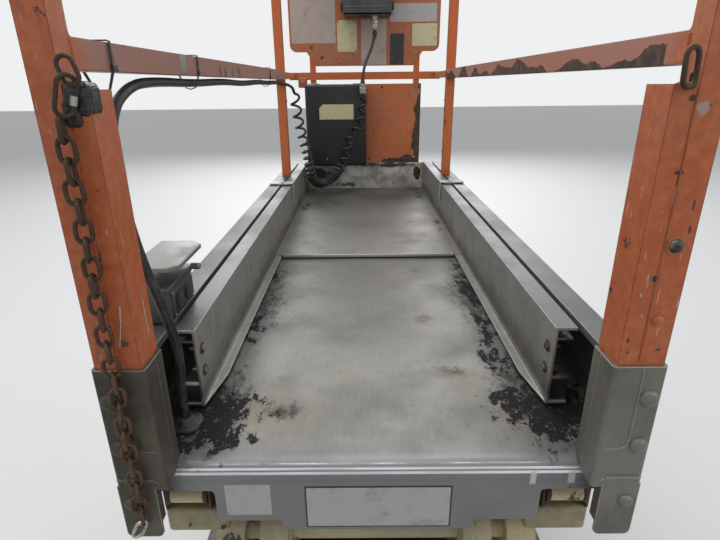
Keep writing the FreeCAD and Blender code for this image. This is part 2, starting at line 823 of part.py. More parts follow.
# Trays and guards
def make_tray(side):
    """A swing-out tray: outer door, floor, low end walls and two hinge lugs with their pins."""
    tray = piece(f"tray_{side_name(side)}")
    wall = d.tray_wall
    section = [
        (d.tray_inner, d.tray_bottom), (d.tray_outer, d.tray_bottom, wall * 2),
        (d.tray_outer, d.tray_top), (d.tray_outer - wall, d.tray_top),
        (d.tray_outer - wall, d.tray_bottom + wall), (d.tray_inner + wall, d.tray_bottom + wall),
        (d.tray_inner + wall, d.tray_bottom + d.tray_inner_lip), (d.tray_inner, d.tray_bottom + d.tray_inner_lip),
    ]
    tray.pad("XZ", d.tray_rear, d.tray_front, [mirrored(side, section)])
    end = rectangle(
        d.tray_inner + wall, d.tray_bottom + wall, d.tray_outer - wall, d.tray_bottom + d.tray_end_height
    )
    for start in (d.tray_rear, d.tray_front - wall):
        tray.pad("XZ", start, start + wall, [mirrored(side, end)])
    centre = d.rear_bulkhead + d.bulkhead / 2
    lug = [
        (d.tray_hinge_across - d.tray_hinge_radius, centre - d.tray_hinge_radius, d.tray_hinge_radius / 2),
        (d.tray_hinge_across + d.tray_hinge_radius, centre - d.tray_hinge_radius, d.tray_hinge_radius / 2),
        (d.tray_outer, d.tray_rear + wall), (d.tray_outer - wall, d.tray_rear + wall),
    ]
    pin = [(side * d.tray_hinge_across, centre, d.tray_pin_radius)]
    gap = d.rod_lug_gap
    below, above = d.tray_hinge_bottom - gap, d.tray_hinge_top + gap
    tray.pad("XY", below - d.tray_lug, below, [mirrored(side, lug)])
    tray.pad("XY", below, below + d.tray_lug, (), pin)
    tray.pad("XY", above, above + d.tray_lug, [mirrored(side, lug)])
    tray.pad("XY", above - d.tray_lug, above, (), pin)


def make_batteries():
    """The row of battery blocks on the left tray."""
    batteries = piece("batteries")
    inner = d.tray_inner + d.tray_wall
    floor = d.tray_bottom + d.tray_wall
    rear = d.tray_rear + d.tray_wall * 2
    for place in range(SIZES["battery_count"]):
        start = rear + d.battery_pitch * place
        outline = rectangle(-inner - d.battery_width, start, -inner, start + d.battery_length)
        batteries.pad("XY", floor, floor + d.battery_height, [outline])


def make_power_unit():
    """The oil tank with its pump and motor on the right tray."""
    unit = piece("power_unit")
    inner = d.tray_inner + d.tray_wall * 2
    floor = d.tray_bottom + d.tray_wall
    rear = d.tray_rear + d.tray_wall * 2
    tank_end = rear + d.battery_length * 2
    corner = d.tray_wall * 2
    tank = [
        (inner, rear, corner), (inner + d.battery_width, rear, corner),
        (inner + d.battery_width, tank_end, corner), (inner, tank_end, corner),
    ]
    unit.pad("XY", floor, floor + d.battery_height, [tank])
    motor_radius = d.battery_width / 2
    motor_up = floor + motor_radius
    centre = inner + motor_radius
    block = rectangle(centre - motor_radius / 2, floor, centre + motor_radius / 2, motor_up + motor_radius / 2)
    unit.pad("XZ", tank_end, tank_end + motor_radius, [block])
    motor = [(centre, motor_up, motor_radius)]
    unit.pad("XZ", tank_end + motor_radius, tank_end + motor_radius + d.battery_length, (), motor)


def make_pothole_guard(side):
    """The folded plate under a tray that swings down when the lift rises."""
    guard = piece(f"pothole_guard_{side_name(side)}")
    pin = [(side * d.guard_hinge_across, d.guard_hinge_height, d.guard_pin_radius)]
    guard.pad("XZ", d.rear_bulkhead, d.front_bulkhead + d.bulkhead, (), pin)
    gap = d.guard_pin_radius
    rear, front = d.rear_bulkhead + d.bulkhead + gap, d.front_bulkhead - gap
    plate = rectangle(d.guard_hinge_across - d.guard_width, rear, d.guard_hinge_across, front)
    low = d.guard_hinge_height - d.guard_plate / 2
    guard.pad("XY", low, low + d.guard_plate, [mirrored(side, plate)])


# Scissor stack
def arm_outline(reach):
    """A bar's side view: straight flanks and round ends about its two end pins."""
    half = d.arm_depth / 2
    radius = half * ROUND_END
    return [
        (-half, -half, radius), (reach + half, -half, radius),
        (reach + half, half, radius), (-half, half, radius),
    ]


def make_outer_arms(level):
    """An outer pair, from its rear lower shaft up to its front upper shaft, with a stub pin at mid length."""
    arms = piece(f"outer_arms_{level}")
    near, far = d.outer_arm_near, d.outer_arm_far
    outline = [arm_outline(d.arm_length)]
    rear_reach = d.bracket_near + d.bracket_plate if level == 1 else far
    topmost = level == SIZES["levels"]
    front_reach = d.platform_track_far - d.track_wall - d.roller_side_gap if topmost else far
    arms.pad("YZ", *sided(1, near, far), outline)
    arms.pad("YZ", -rear_reach, rear_reach, (), [(0, 0, d.pin_radius)])
    arms.pad("YZ", *sided(-1, near, far), outline)
    arms.pad("YZ", -front_reach, front_reach, (), [(d.arm_length, 0, d.pin_radius)])
    for side in (-1, 1):
        arms.pad("YZ", *sided(side, d.inner_arm_near, near), (), [(d.arm_length / 2, 0, d.pin_radius)])
        if topmost:
            roller = sided(side, d.platform_track_near + d.roller_side_gap, front_reach)
            arms.pad("YZ", *roller, (), [(d.arm_length, 0, d.roller_radius)])
    arms.place(0, d.rear_pivot, d.base_pivot + d.arm_pitch * (level - 1), stowed_angle)


def make_inner_arms(level):
    """An inner pair, from its rear upper pivot down to its front lower pivot, joined by cross tubes."""
    arms = piece(f"inner_arms_{level}")
    near, far = d.inner_arm_near, d.inner_arm_far
    pivot, centre, front = (0, 0, cradle), (d.arm_length / 2, 0, cradle), (d.arm_length, 0, cradle)
    bores = [centre]
    topmost = level == SIZES["levels"]
    if not topmost:
        bores.append(pivot)
    if level > 1:
        bores.append(front)
    outline = [arm_outline(d.arm_length)]
    tubes = {
        1: [(d.barrel_seat, 0, d.barrel_shaft_radius), (d.lowest_tie_tube, 0, d.tie_tube_radius)],
        2: [(d.second_tie_tube, 0, d.tie_tube_radius), (d.rod_tube_seat, d.rod_tube_lift, d.rod_tube_radius)],
    }.get(level, [(place, 0, d.tie_tube_radius) for place in (d.tie_tube_rear, d.tie_tube_front)])
    arms.pad("YZ", *sided(1, near, far), outline, bores)
    for tube in tubes:
        arms.pad("YZ", -near, near, (), [tube])
    if level == 2:
        rod_lugs(arms)
    arms.pad("YZ", *sided(-1, near, far), outline, bores)
    if level == 1:
        for side in (-1, 1):
            stub = sided(side, d.base_track_far - d.roller_width, near)
            arms.pad("YZ", *stub, (), [(d.arm_length, 0, d.pin_radius)])
            roller = sided(side, d.base_track_far - d.roller_width, d.base_track_far - d.roller_side_gap)
            arms.pad("YZ", *roller, (), [(d.arm_length, 0, d.roller_radius)])
    if topmost:
        arms.pad("YZ", -d.hinge_bracket_far, d.hinge_bracket_far, (), [(0, 0, d.pin_radius)])
    arms.place(0, d.rear_pivot, d.base_pivot + d.arm_pitch * level, -stowed_angle)


def rod_lugs(arms):
    """The two ears on the second inner pair's cross tube that hold the cylinder rod, with the pin's heads."""
    gap = d.rod_lug_gap
    inner = d.rod_eye_width / 2 + gap
    size = d.rod_eye_radius
    foot = d.rod_tube_radius
    outline = [
        (d.rod_tube_seat - foot, d.rod_tube_lift - foot),
        (d.rod_tube_seat + foot, d.rod_tube_lift - foot, foot * ROUND_CORNER),
        (d.rod_seat + size, d.rod_seat_lift + size, size * ROUND_CORNER),
        (d.rod_seat - size, d.rod_seat_lift + size, size * ROUND_CORNER),
        (d.rod_seat - size, d.rod_seat_lift - size / 2, size / 3),
    ]
    outer = inner + d.rod_lug
    for side in (-1, 1):
        arms.pad("YZ", *sided(side, inner, outer), [outline])
        head = [(d.rod_seat, d.rod_seat_lift, d.pin_head_radius)]
        arms.pad("YZ", *sided(side, outer, outer + d.pin_head), (), head)


# Lift cylinder
def cylinder_line():
    """Returns the barrel seat's place, and the stowed angle and length to the rod's seat."""
    lean = stowed_angle
    barrel_y = d.rear_pivot + d.barrel_seat * cosine(lean)
    barrel_z = d.base_pivot + d.arm_pitch - d.barrel_seat * sine(lean)
    rod_y = d.rear_pivot + d.rod_seat * cosine(lean) + d.rod_seat_lift * sine(lean)
    rod_z = d.base_pivot + d.arm_pitch * 2 - d.rod_seat * sine(lean) + d.rod_seat_lift * cosine(lean)
    angle = arc_tangent(rod_z - barrel_z, rod_y - barrel_y)
    length = root_of_squares(rod_z - barrel_z, rod_y - barrel_y)
    return barrel_y, barrel_z, angle, length


def make_cylinder():
    """The hydraulic cylinder between the first and the second inner pairs."""
    barrel_y, barrel_z, angle, length = cylinder_line()
    barrel = piece("cylinder_barrel")
    half = d.barrel_eye_width / 2
    barrel.pad("YZ", -half, half, (), [(0, 0, d.barrel_eye_radius)])
    barrel_end = length - d.barrel_short_of_seat
    barrel.pad("XZ", d.barrel_eye_radius / 2, barrel_end, (), [(0, 0, d.barrel_radius)])
    bore = d.rod_radius + d.running_gap * 2
    rod_start = d.rod_short_of_seat
    barrel.pocket("XZ", rod_start - d.rod_bore_depth, barrel_end, (), [(0, 0, bore)])
    eye_bore = [(0, 0, d.barrel_shaft_radius + d.running_gap)]
    barrel.pocket("YZ", -half - d.barrel_radius, half + d.barrel_radius, (), eye_bore)
    barrel.place(0, barrel_y, barrel_z, angle)
    rod = piece("cylinder_rod")
    rod.pad("XZ", rod_start, length, (), [(0, 0, d.rod_radius)])
    eye = d.rod_eye_width / 2
    rod.pad("YZ", -eye, eye, (), [(length, 0, d.rod_eye_radius)])
    rod.pocket("YZ", -eye, eye, (), [(length, 0, d.rod_pin_radius)])
    rod.place(0, barrel_y, barrel_z, angle)


# Platform
def make_deck():
    """The main deck sheet, rolled over at the rear into an apron with its cut-outs."""
    deck = piece("main_deck")
    sheet_inner = d.deck_bend - d.deck_sheet
    front = deck_front - d.deck_front_margin
    drop = deck_top - d.apron_centre_drop
    profile = [
        (deck_rear, drop), (deck_rear + d.deck_sheet, drop),
        (deck_rear + d.deck_sheet, deck_bottom, sheet_inner), (front, deck_bottom),
        (front, deck_top), (deck_rear, deck_top, d.deck_bend),
    ]
    deck.pad("YZ", -d.deck_half_width, d.deck_half_width, [profile])
    beyond = d.deck_half_width + d.deck_sheet
    notch, step = deck_top - d.apron_notch_drop, deck_top - d.apron_step_drop
    below = drop - d.deck_sheet
    for side in (-1, 1):
        cut = [
            (d.apron_centre_half, below), (beyond, below), (beyond, notch),
            (d.apron_step_half, notch, d.deck_bend / 2),
            (d.apron_step_half, step, d.deck_bend / 2), (d.apron_centre_half, step, d.deck_bend / 2),
        ]
        deck.pocket("XZ", deck_rear, deck_rear + d.deck_sheet, [mirrored(side, cut)])


def make_outer_channel(side):
    """The platform's side channel, open to the inside, with a hold-down plate over the slit."""
    channel = piece(f"outer_channel_{side_name(side)}")
    near, far, sheet_wall = d.outer_channel_near, d.outer_channel_far, d.channel_sheet
    low = deck_bottom - d.cross_member_depth
    profile = [
        (far - sheet_wall, low), (far, low), (far, channel_top, sheet_wall), (near, channel_top),
        (near, channel_top - d.channel_lip), (near + sheet_wall, channel_top - d.channel_lip),
        (near + sheet_wall, channel_top - sheet_wall), (far - sheet_wall, channel_top - sheet_wall),
    ]
    front = deck_front - d.deck_front_margin
    channel.pad("XZ", deck_rear + d.deck_sheet, front, [mirrored(side, profile)])
    rear = from_deck_rear(d.hold_down_place)
    plate = rectangle(d.hold_down_reach, rear, d.rail_near + d.tube / 2, rear + d.hold_down_length)
    channel.pad("XY", channel_top, channel_top + d.hold_down_sheet, [mirrored(side, plate)])


def make_underframe():
    """Side members, cross members, the rear hinge brackets and the roller tracks under the deck."""
    frame = piece("platform_underframe")
    low = deck_bottom - d.cross_member_depth
    half = d.platform_track_far
    rear, front = deck_rear + d.deck_bend, deck_front - d.deck_bend
    members = []
    for side in (-1, 1):
        across = sided(side, half - d.side_member, half)
        members.append(across)
    frame.pad("YZ", *members[1], [rectangle(rear, low, front, deck_bottom)])
    for place in range(SIZES["cross_member_count"]):
        start = from_deck_rear(d.cross_member_start) + d.cross_member_pitch * place - d.cross_member_width / 2
        section = [
            (start, low), (start + d.cross_member_width, low),
            (start + d.cross_member_width, deck_bottom), (start, deck_bottom),
        ]
        frame.pad("YZ", d.side_member - half, half - d.side_member, [section])
    frame.pad("YZ", *members[0], [rectangle(rear, low, front, deck_bottom)])
    hinge_brackets(frame, low)
    platform_tracks(frame, low)


def hinge_brackets(frame, low):
    """Blocks under the rear of the deck that hold the top inner arms' shaft."""
    half = d.hinge_bracket_length / 2
    bottom = d.top_pivot - d.hinge_bracket_below
    outline = [
        (d.rear_pivot - half, bottom, half * ROUND_CORNER), (d.rear_pivot + half, bottom, half * ROUND_CORNER),
        (d.rear_pivot + half, deck_bottom), (d.rear_pivot - half, deck_bottom),
    ]
    beam = rectangle(d.rear_pivot - half, low, d.rear_pivot + half, deck_bottom)
    for side in (-1, 1):
        reach = sided(side, d.hinge_bracket_near, d.hinge_bracket_far)
        frame.pad("YZ", *sided(side, d.hinge_bracket_far, d.platform_track_far - d.side_member), [beam])
        frame.pad("YZ", *reach, [outline])
        frame.pocket("YZ", *reach, (), [(d.rear_pivot, d.top_pivot, cradle)])


def platform_tracks(frame, low):
    """Channels, open to the inside, that the top outer arms' rollers run in."""
    bottom = d.top_pivot - d.roller_radius - d.track_gap
    top = d.top_pivot + d.roller_radius + d.track_gap
    near, far, wall = d.platform_track_near, d.platform_track_far, d.track_wall
    section = [
        (near, bottom - wall), (far, bottom - wall), (far, low), (near, low), (near, top),
        (far - wall, top), (far - wall, bottom), (near, bottom),
    ]
    start = raised_front_pin - d.track_run_off
    end = front_pin + d.track_run_off
    for side in (-1, 1):
        frame.pad("XZ", start, end, [mirrored(side, section)])


def make_post_socket(side):
    """The bent plate at the deck's rear corner that the rear post stands in."""
    socket = piece(f"post_socket_{side_name(side)}")
    back = post_rear - d.post_gap
    inner, outer = d.stub_near, rail_far
    plate = d.socket_sheet
    rear_wall = d.post_gap
    section = [
        (inner - plate, back, plate), (outer + plate, back, plate), (outer + plate, deck_rear),
        (outer, deck_rear), (outer, back + rear_wall), (inner, back + rear_wall),
        (inner, deck_rear), (inner - plate, deck_rear),
    ]
    low, wrap = deck_top - d.socket_below_deck, deck_top - d.socket_wrap_below
    socket.pad("XY", wrap, above_deck(d.socket_height), [mirrored(side, section)])
    corner = d.socket_foot_corner
    foot = [
        (d.socket_foot_near, low, corner), (outer + plate, low, corner), (outer + plate, deck_top),
        (d.socket_foot_near, deck_top),
    ]
    socket.pad("XZ", back, back + rear_wall, [mirrored(side, foot)])
    flank = rectangle(outer, back, outer + plate, deck_rear)
    socket.pad("XY", low + corner, deck_top, [mirrored(side, flank)])


def make_side_rail(side):
    """A guard rail frame: rear post with its stub, top rail, mid rail and far post."""
    rail = piece(f"side_rail_{side_name(side)}")
    tube = d.tube
    foot = deck_top - d.post_below_deck
    mid_low, mid_high = mid_rail_bottom, mid_rail_bottom + tube
    comb = [
        (post_rear, foot), (deck_rear, foot), (deck_rear, mid_low, d.mid_corner),
        (far_post_rear, mid_low), (far_post_rear, channel_top), (far_post_front, channel_top),
        (far_post_front, rail_top), (post_rear, rail_top, d.rail_corner),
    ]
    window = [
        (deck_rear, mid_high, d.mid_corner), (far_post_rear, mid_high),
        (far_post_rear, rail_top - tube), (deck_rear, rail_top - tube, d.rail_corner - tube),
    ]
    across = sided(side, d.rail_near, rail_far)
    rail.pad("YZ", *across, [comb, window])
    notch = above_deck(d.stub_notch)
    stub_front = post_rear + d.stub_depth
    stub = [
        (post_rear, notch), (stub_front, notch),
        (stub_front, above_deck(d.stub_height)), (post_rear, above_deck(d.stub_height)),
    ]
    rail.pad("YZ", *sided(side, d.stub_near, d.rail_near), [stub])
    margin = (d.tube - d.tube_bore) / 2
    for low in (mid_low, rail_top - tube):
        bore = rectangle(d.rail_near + margin, low + margin, rail_far - margin, low + tube - margin)
        rail.pocket("XZ", deck_rear + d.rail_corner, far_post_front, [mirrored(side, bore)])


# Roll-out extension
def make_inner_channel(side):
    """The extension's side channel, with the skid lip along its foot and a wear block at its tail."""
    channel = piece(f"inner_channel_{side_name(side)}")
    near, far, wall = d.inner_channel_near, d.inner_channel_far, d.inner_channel_sheet
    low = above_deck(d.inner_channel_lift)
    high = channel_top - d.inner_channel_drop
    rear = from_deck_rear(d.inner_channel_rear)
    profile = [
        (near, low), (far, low), (far, low + wall), (near + wall, low + wall),
        (near + wall, high - wall), (far, high - wall), (far, high), (near, high),
    ]
    channel.pad("XZ", rear, panel_rear, [mirrored(side, profile)])
    lip = [
        (near, rear), (near, panel_rear), (d.skid_near, panel_rear), (d.skid_near, from_deck_rear(d.skid_start)),
    ]
    lip = lip if side < 0 else list(reversed(lip))
    lip = [(side * corner[0], corner[1]) for corner in lip]
    channel.pad("XY", low, low + d.channel_sheet, [lip])


def make_wear_blocks():
    """Low-friction blocks in the channels' tails, and the pads that carry the channels on the main deck."""
    blocks = piece("wear_blocks")
    wall = d.inner_channel_sheet
    near, far = d.inner_channel_near + wall, d.inner_channel_far
    rear = from_deck_rear(d.inner_channel_rear) + wall
    foot = above_deck(d.inner_channel_lift)
    for side in (-1, 1):
        outline = mirrored(side, rectangle(near, rear, far, rear + d.wear_block_length))
        blocks.pad("XY", foot + wall, foot + wall + d.wear_block_height, [outline])
        for start in (rear, from_deck_rear(d.extension_rear)):
            pad = mirrored(side, rectangle(near, start, far, start + d.wear_block_length))
            blocks.pad("XY", above_deck(d.wear_gap), foot, [pad])


def make_extension_deck():
    """The roll-out deck, bent up at its front into the toe board."""
    deck = piece("extension_deck")
    half = d.inner_channel_near
    low = above_deck(d.inner_channel_lift + d.channel_sheet)
    rear = from_deck_rear(d.extension_rear)
    front = panel_rear + d.sheet
    toe = above_deck(d.toe_board)
    profile = [
        (rear, low), (front, low), (front, toe), (panel_rear, toe),
        (panel_rear, low + d.sheet), (rear, low + d.sheet),
    ]
    deck.pad("YZ", -half, half, [profile])


def make_front_rail():
    """The extension's rail frame: cross rails, two uprights and the tubes nested in the side rails."""
    rail = piece("front_rail")
    tube = d.tube
    start, end = front_tube_rear, front_tube_rear + tube
    half = rail_far
    low = above_deck(d.inner_channel_lift + d.channel_sheet)
    mid_low, mid_high = mid_rail_bottom, mid_rail_bottom + tube
    inner, outer = d.front_post_half - d.front_post_width, d.front_post_half
    outline = [
        (-outer, low), (-inner, low), (-inner, mid_low), (inner, mid_low), (inner, low), (outer, low),
        (outer, mid_low), (half, mid_low), (half, mid_high), (outer, mid_high), (outer, rail_top - tube),
        (half, rail_top - tube), (half, rail_top, tube / 2), (-half, rail_top, tube / 2),
        (-half, rail_top - tube), (-outer, rail_top - tube), (-outer, mid_high), (-half, mid_high),
        (-half, mid_low), (-outer, mid_low),
    ]
    window = rectangle(-inner, mid_high, inner, rail_top - tube)
    rail.pad("XZ", start, end, [outline, window])
    rear = from_deck_rear(d.nested_rear)
    margin = (d.tube - d.nested_tube) / 2
    for side in (-1, 1):
        for base in (mid_low, rail_top - tube):
            section = rectangle(d.rail_near + margin, base + margin, rail_far - margin, base + tube - margin)
            rail.pad("XZ", rear, start, [mirrored(side, section)])


def make_panels():
    """The two sheet panels on the extension's rail frame."""
    lower = piece("lower_panel")
    outline = rectangle(
        -d.lower_panel_left, above_deck(d.toe_board), d.lower_panel_right, above_deck(d.lower_panel_top)
    )
    lower.pad("XZ", panel_rear, panel_rear + d.sheet, [outline])
    upper = piece("upper_panel")
    high, low = above_deck(d.upper_panel_high), above_deck(d.upper_panel_low)
    half, step, middle = d.upper_panel_half, d.upper_panel_step, d.upper_panel_middle
    notch = rail_top - d.tube - d.nested_gap
    outline = [
        (-half, high, d.upper_panel_corner), (-step, high), (-middle, low), (middle, low),
        (step, high), (half, high, d.upper_panel_corner), (half, notch), (d.rail_near, notch),
        (d.rail_near, rail_top - d.tube / 2), (-d.rail_near, rail_top - d.tube / 2),
        (-d.rail_near, notch), (-half, notch),
    ]
    upper.pad("XZ", panel_rear, panel_rear + d.sheet, [outline])


def make_manual_box():
    box = piece("manual_box")
    corner = d.manual_box_corner
    front, rear = panel_rear, panel_rear - d.manual_box_depth
    outline = [
        (-d.lower_panel_left, rear, corner), (d.manual_box_right, rear, corner),
        (d.manual_box_right, front), (-d.lower_panel_left, front),
    ]
    box.pad("XY", above_deck(d.toe_board), above_deck(d.lower_panel_top), [outline])


def box_gland_place():
    """Returns the centre of the foot of the gland below the control box."""
    across = d.control_box_centre + d.gland_radius * 2
    along = panel_rear - d.control_box_depth / 2
    return across, along, above_deck(d.control_box_bottom) - d.gland_height


def make_control_box():
    """The platform control box with its sloped face, hung on the upper panel, and the gland below it."""
    box = piece("control_box")
    bottom = above_deck(d.control_box_bottom)
    top = bottom + d.control_box_height
    rear = panel_rear - d.control_box_depth
    corner = d.manual_box_corner
    profile = [
        (rear, bottom, corner), (panel_rear, bottom), (panel_rear, top), (rear + d.control_box_slope, top, corner),
        (rear, top - d.control_box_slope, corner),
    ]
    left = d.control_box_centre - d.control_box_width / 2
    box.pad("YZ", left, left + d.control_box_width, [profile])
    across, along, low = box_gland_place()
    box.pad("XY", low, bottom, (), [(across, along, d.gland_radius)])


# Fittings
def make_outlet_box():
    """The cast outlet box on the left channel, with its lid swung open."""
    box = piece("outlet_box")
    near, far = d.outlet_box_near, d.outlet_box_near + d.outlet_box_width
    rear = from_deck_rear(d.outlet_box_rear)
    front = rear + d.outlet_box_length
    corner = d.manual_box_corner
    top = channel_top + d.outlet_box_height
    body = [(-far, rear, corner), (-near, rear, corner), (-near, front, corner), (-far, front, corner)]
    box.pad("XY", channel_top, top, [body])
    lid_bottom = above_deck(d.outlet_lid_height)
    hinge = rectangle(-far, rear + corner, corner - far, front - corner)
    box.pad("XY", top, lid_bottom, [hinge])
    right = d.outlet_lid_width - far
    lid = [
        (-far, rear, corner), (right, rear, corner),
        (right, rear + d.outlet_lid_length, corner), (-far, rear + d.outlet_lid_length, corner),
    ]
    box.pad("XY", lid_bottom, lid_bottom + d.outlet_lid_sheet, [lid])


def make_grommet():
    grommet = piece("cable_grommet")
    centre = (d.grommet_across, from_deck_rear(d.grommet_place))
    rings = [(*centre, d.grommet_radius), (*centre, d.cable_radius + d.grommet_gap)]
    grommet.pad("XY", deck_top, deck_top + d.grommet_height, (), rings)


def gland_place():
    """Returns the centre of the cord gland's foot."""
    across = d.manual_box_right - d.gland_radius
    along = panel_rear - d.manual_box_depth - d.coil_radius - d.cord_gap
    return across, along, above_deck(d.lower_panel_top) - d.gland_height


def make_cord_gland():
    """The gland that joins the straight cable to the curly cord, on the manual box's edge."""
    gland = piece("cord_gland")
    across, along, low = gland_place()
    gland.pad("XY", low, low + d.gland_height, (), [(across, along, d.gland_radius)])
    half = d.gland_radius / 2
    saddle = rectangle(across - half, along, across + half, panel_rear - d.manual_box_depth)
    gland.pad("XY", low + half, low + d.gland_height - half, [saddle])


def bent_tube(points, radius):
    """Returns a round tube along straight runs joined by tangent arcs, and its path's length and radii."""
    runs = [(points[place + 1] - points[place]).Length for place in range(len(points) - 1)]
    edges, radii, start = [], [], points[0]
    for place in range(1, len(points) - 1):
        arrive = (points[place] - points[place - 1]).normalize()
        leave = (points[place + 1] - points[place]).normalize()
        half_turn = arrive.getAngle(leave) / 2
        setback = 0.45 * min(runs[place - 1], runs[place])
        bend = setback / math.tan(half_turn)
        first, last = points[place] - arrive * setback, points[place] + leave * setback
        toward = (leave - arrive).normalize()
        centre = points[place] + toward * (setback / math.sin(half_turn))
        middle = centre - toward * bend
        edges.append(Part.LineSegment(start, first).toShape())
        edges.append(Part.Arc(first, middle, last).toShape())
        radii.append(bend)
        start = last
    edges.append(Part.LineSegment(start, points[-1]).toShape())
    path = Part.Wire(edges)
    direction = (points[1] - points[0]).normalize()
    section = Part.Wire(Part.makeCircle(radius, points[0], direction))
    tube = path.makePipeShell([section], True, True)
    return tube, path.Length, radii


def add_cord(label, points, radius):
    """Stores a cord's tube as a feature, after checking its volume against its length."""
    tube, length, radii = bent_tube([vector(*point) for point in points], radius)
    expected = math.pi * radius ** 2 * length
    print(label, "length", round(length), "volume ratio", round(tube.Volume / expected, 4))
    print(label, "bend radii", [round(bend) for bend in radii])
    feature = document.addObject("Part::Feature", label)
    feature.Label = label
    feature.Shape = tube
    pieces.append(feature)


def make_power_cable():
    """The cable from the deck grommet up the left rear post and along under the mid rail."""
    across, along = d.grommet_across.number, from_deck_rear(d.grommet_place).number
    deck, under = deck_top.number, mid_rail_bottom.number
    middle = -(d.rail_near + d.tube / 2).number
    rise = under - deck
    climb = ((0, 0, 0), (0, 0, 0.1156), (7, 2, 0.2601), (0, -18, 0.4143))
    bend = ((14, -27, 0.5780), (4, -26, 0.7514), (0, -8, 0.9056))
    route = [(across + side, along + ahead, deck + rise * share) for side, ahead, share in climb]
    route += [(middle + side, along + ahead, deck + rise * share) for side, ahead, share in bend]
    span = far_post_rear.number - along
    below = ((0, 0.043, 15), (0, 0.107, 10), (-1, 0.243, 13), (2, 0.386, 9), (0, 0.525, 14))
    ahead_of_middle = ((1, 0.664, 9), (0, 0.8, 12), (1, 0.929, 9), (4, 0.986, 15))
    route += [(middle + side, along + span * share, under - drop) for side, share, drop in below + ahead_of_middle]
    add_cord("power_cable", route, d.cable_radius.number)


def make_control_cable():
    """The straight cable from the gland below the control box down to the cord gland."""
    box_x, box_y, box_z = [place.number for place in box_gland_place()]
    gland_x, gland_y, gland_z = [place.number for place in gland_place()]
    top = gland_z + d.gland_height.number
    route = [
        (box_x, box_y, box_z),
        (box_x, box_y, box_z - 60),
        (gland_x, gland_y, top + 65),
        (gland_x, gland_y, top),
    ]
    add_cord("control_cable", route, d.control_cable_radius.number)


def make_curly_cord():
    """The outer shape of the curly cord, from the cord gland over the deck corner to the left far post."""
    gland_x, gland_y, gland_z = [place.number for place in gland_place()]
    post_x, post_y = -d.rail_near.number, far_post_front.number
    deck = deck_top.number
    drop = gland_z - deck
    fall = ((0, 0, 1), (0, 0, 0.8462), (12, -3, 0.6923), (60, -5, 0.6154), (80, -8, 0.4066), (120, -12, 0.2418))
    lie = ((185, -22, 0.1319), (233, -55, 0.1868))
    rise = ((62, 164, 0.3516), (52, 129, 0.5275), (38, 94, 0.7033), (28, 69, 0.8791), (25, 46, 1.0330))
    route = [(gland_x - side, gland_y + ahead, deck + drop * share) for side, ahead, share in fall + lie]
    route += [(post_x + side, post_y + ahead, deck + drop * share) for side, ahead, share in rise]
    add_cord("curly_cord", route, d.coil_radius.number)


def flat_bar(corners):
    """An upright bar in the YZ plane, as thick as the chain's wire."""
    thickness = d.link_wire.number
    points = [vector(-thickness / 2, across, up) for across, up in corners]
    return Part.Face(Part.makePolygon(points + points[:1])).extrude(vector(thickness, 0, 0))


def chain_link(wire, length, width):
    """One link: a flat ring that stands in the YZ plane with its long side upright."""
    across, up = width / 2, length / 2
    shoulder, top = across - wire, up - wire
    outer = flat_bar([
        (across, -top), (across, top), (shoulder, up), (-shoulder, up),
        (-across, top), (-across, -top), (-shoulder, -up), (shoulder, -up),
    ])
    inner = flat_bar([(shoulder, -top), (shoulder, top), (-shoulder, top), (-shoulder, -top)])
    return outer.cut(inner)


def make_entry_chain():
    """The entry chain, which hangs open from its eye on the left rear post."""
    wire, length, width = d.link_wire.number, d.link_length.number, d.link_width.number
    pitch = length - wire * 2
    rear = (post_rear - d.post_gap).number - width / 2
    top = above_deck(d.chain_eye_height).number
    links = []
    for place in range(SIZES["chain_links"]):
        link = chain_link(wire, length, width)
        if place % 2:
            link.rotate(vector(0, 0, 0), vector(0, 0, 1), 90)
        link.translate(vector(d.chain_across.number, rear, top - pitch * place))
        links.append(link)
    feature = document.addObject("Part::Feature", "entry_chain")
    feature.Label = "entry_chain"
    feature.Shape = Part.makeCompound(links)
    pieces.append(feature)


make_chassis()
make_ladder()
for axle_name, along in (("rear", rear_axle), ("front", front_axle)):
    for side in (-1, 1):
        make_wheel(f"{axle_name}_{side_name(side)}", side, along)
for side in (-1, 1):
    make_knuckle(side)
    make_tray(side)
    make_pothole_guard(side)
make_tie_rod()
make_batteries()
make_power_unit()
for level in (1, 2, 3, 4):
    make_outer_arms(level)
    make_inner_arms(level)
make_cylinder()
make_deck()
make_underframe()
for side in (-1, 1):
    make_outer_channel(side)
    make_post_socket(side)
    make_side_rail(side)
    make_inner_channel(side)
make_wear_blocks()
make_extension_deck()
make_front_rail()
make_panels()
make_manual_box()
make_control_box()
make_outlet_box()
make_grommet()
make_cord_gland()
make_power_cable()
make_control_cable()
make_curly_cord()
make_entry_chain()

document.recompute()
faulty = [item.Name for item in document.Objects if {"Invalid", "Error"} & set(item.State)]
if faulty:
    raise ValueError(f"features that failed: {faulty}")
for item in pieces:
    if item.Shape.isNull() or not item.Shape.isValid():
        raise ValueError(f"{item.Label} has no valid shape")
for item in pieces:
    item.Shape.exportStep(f"parts/{item.Label}.step")
    print(item.Label, "solids", len(item.Shape.Solids), "faces", len(item.Shape.Faces))
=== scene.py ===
import math
import random

import bmesh
import bpy
from mathutils import Matrix, Vector


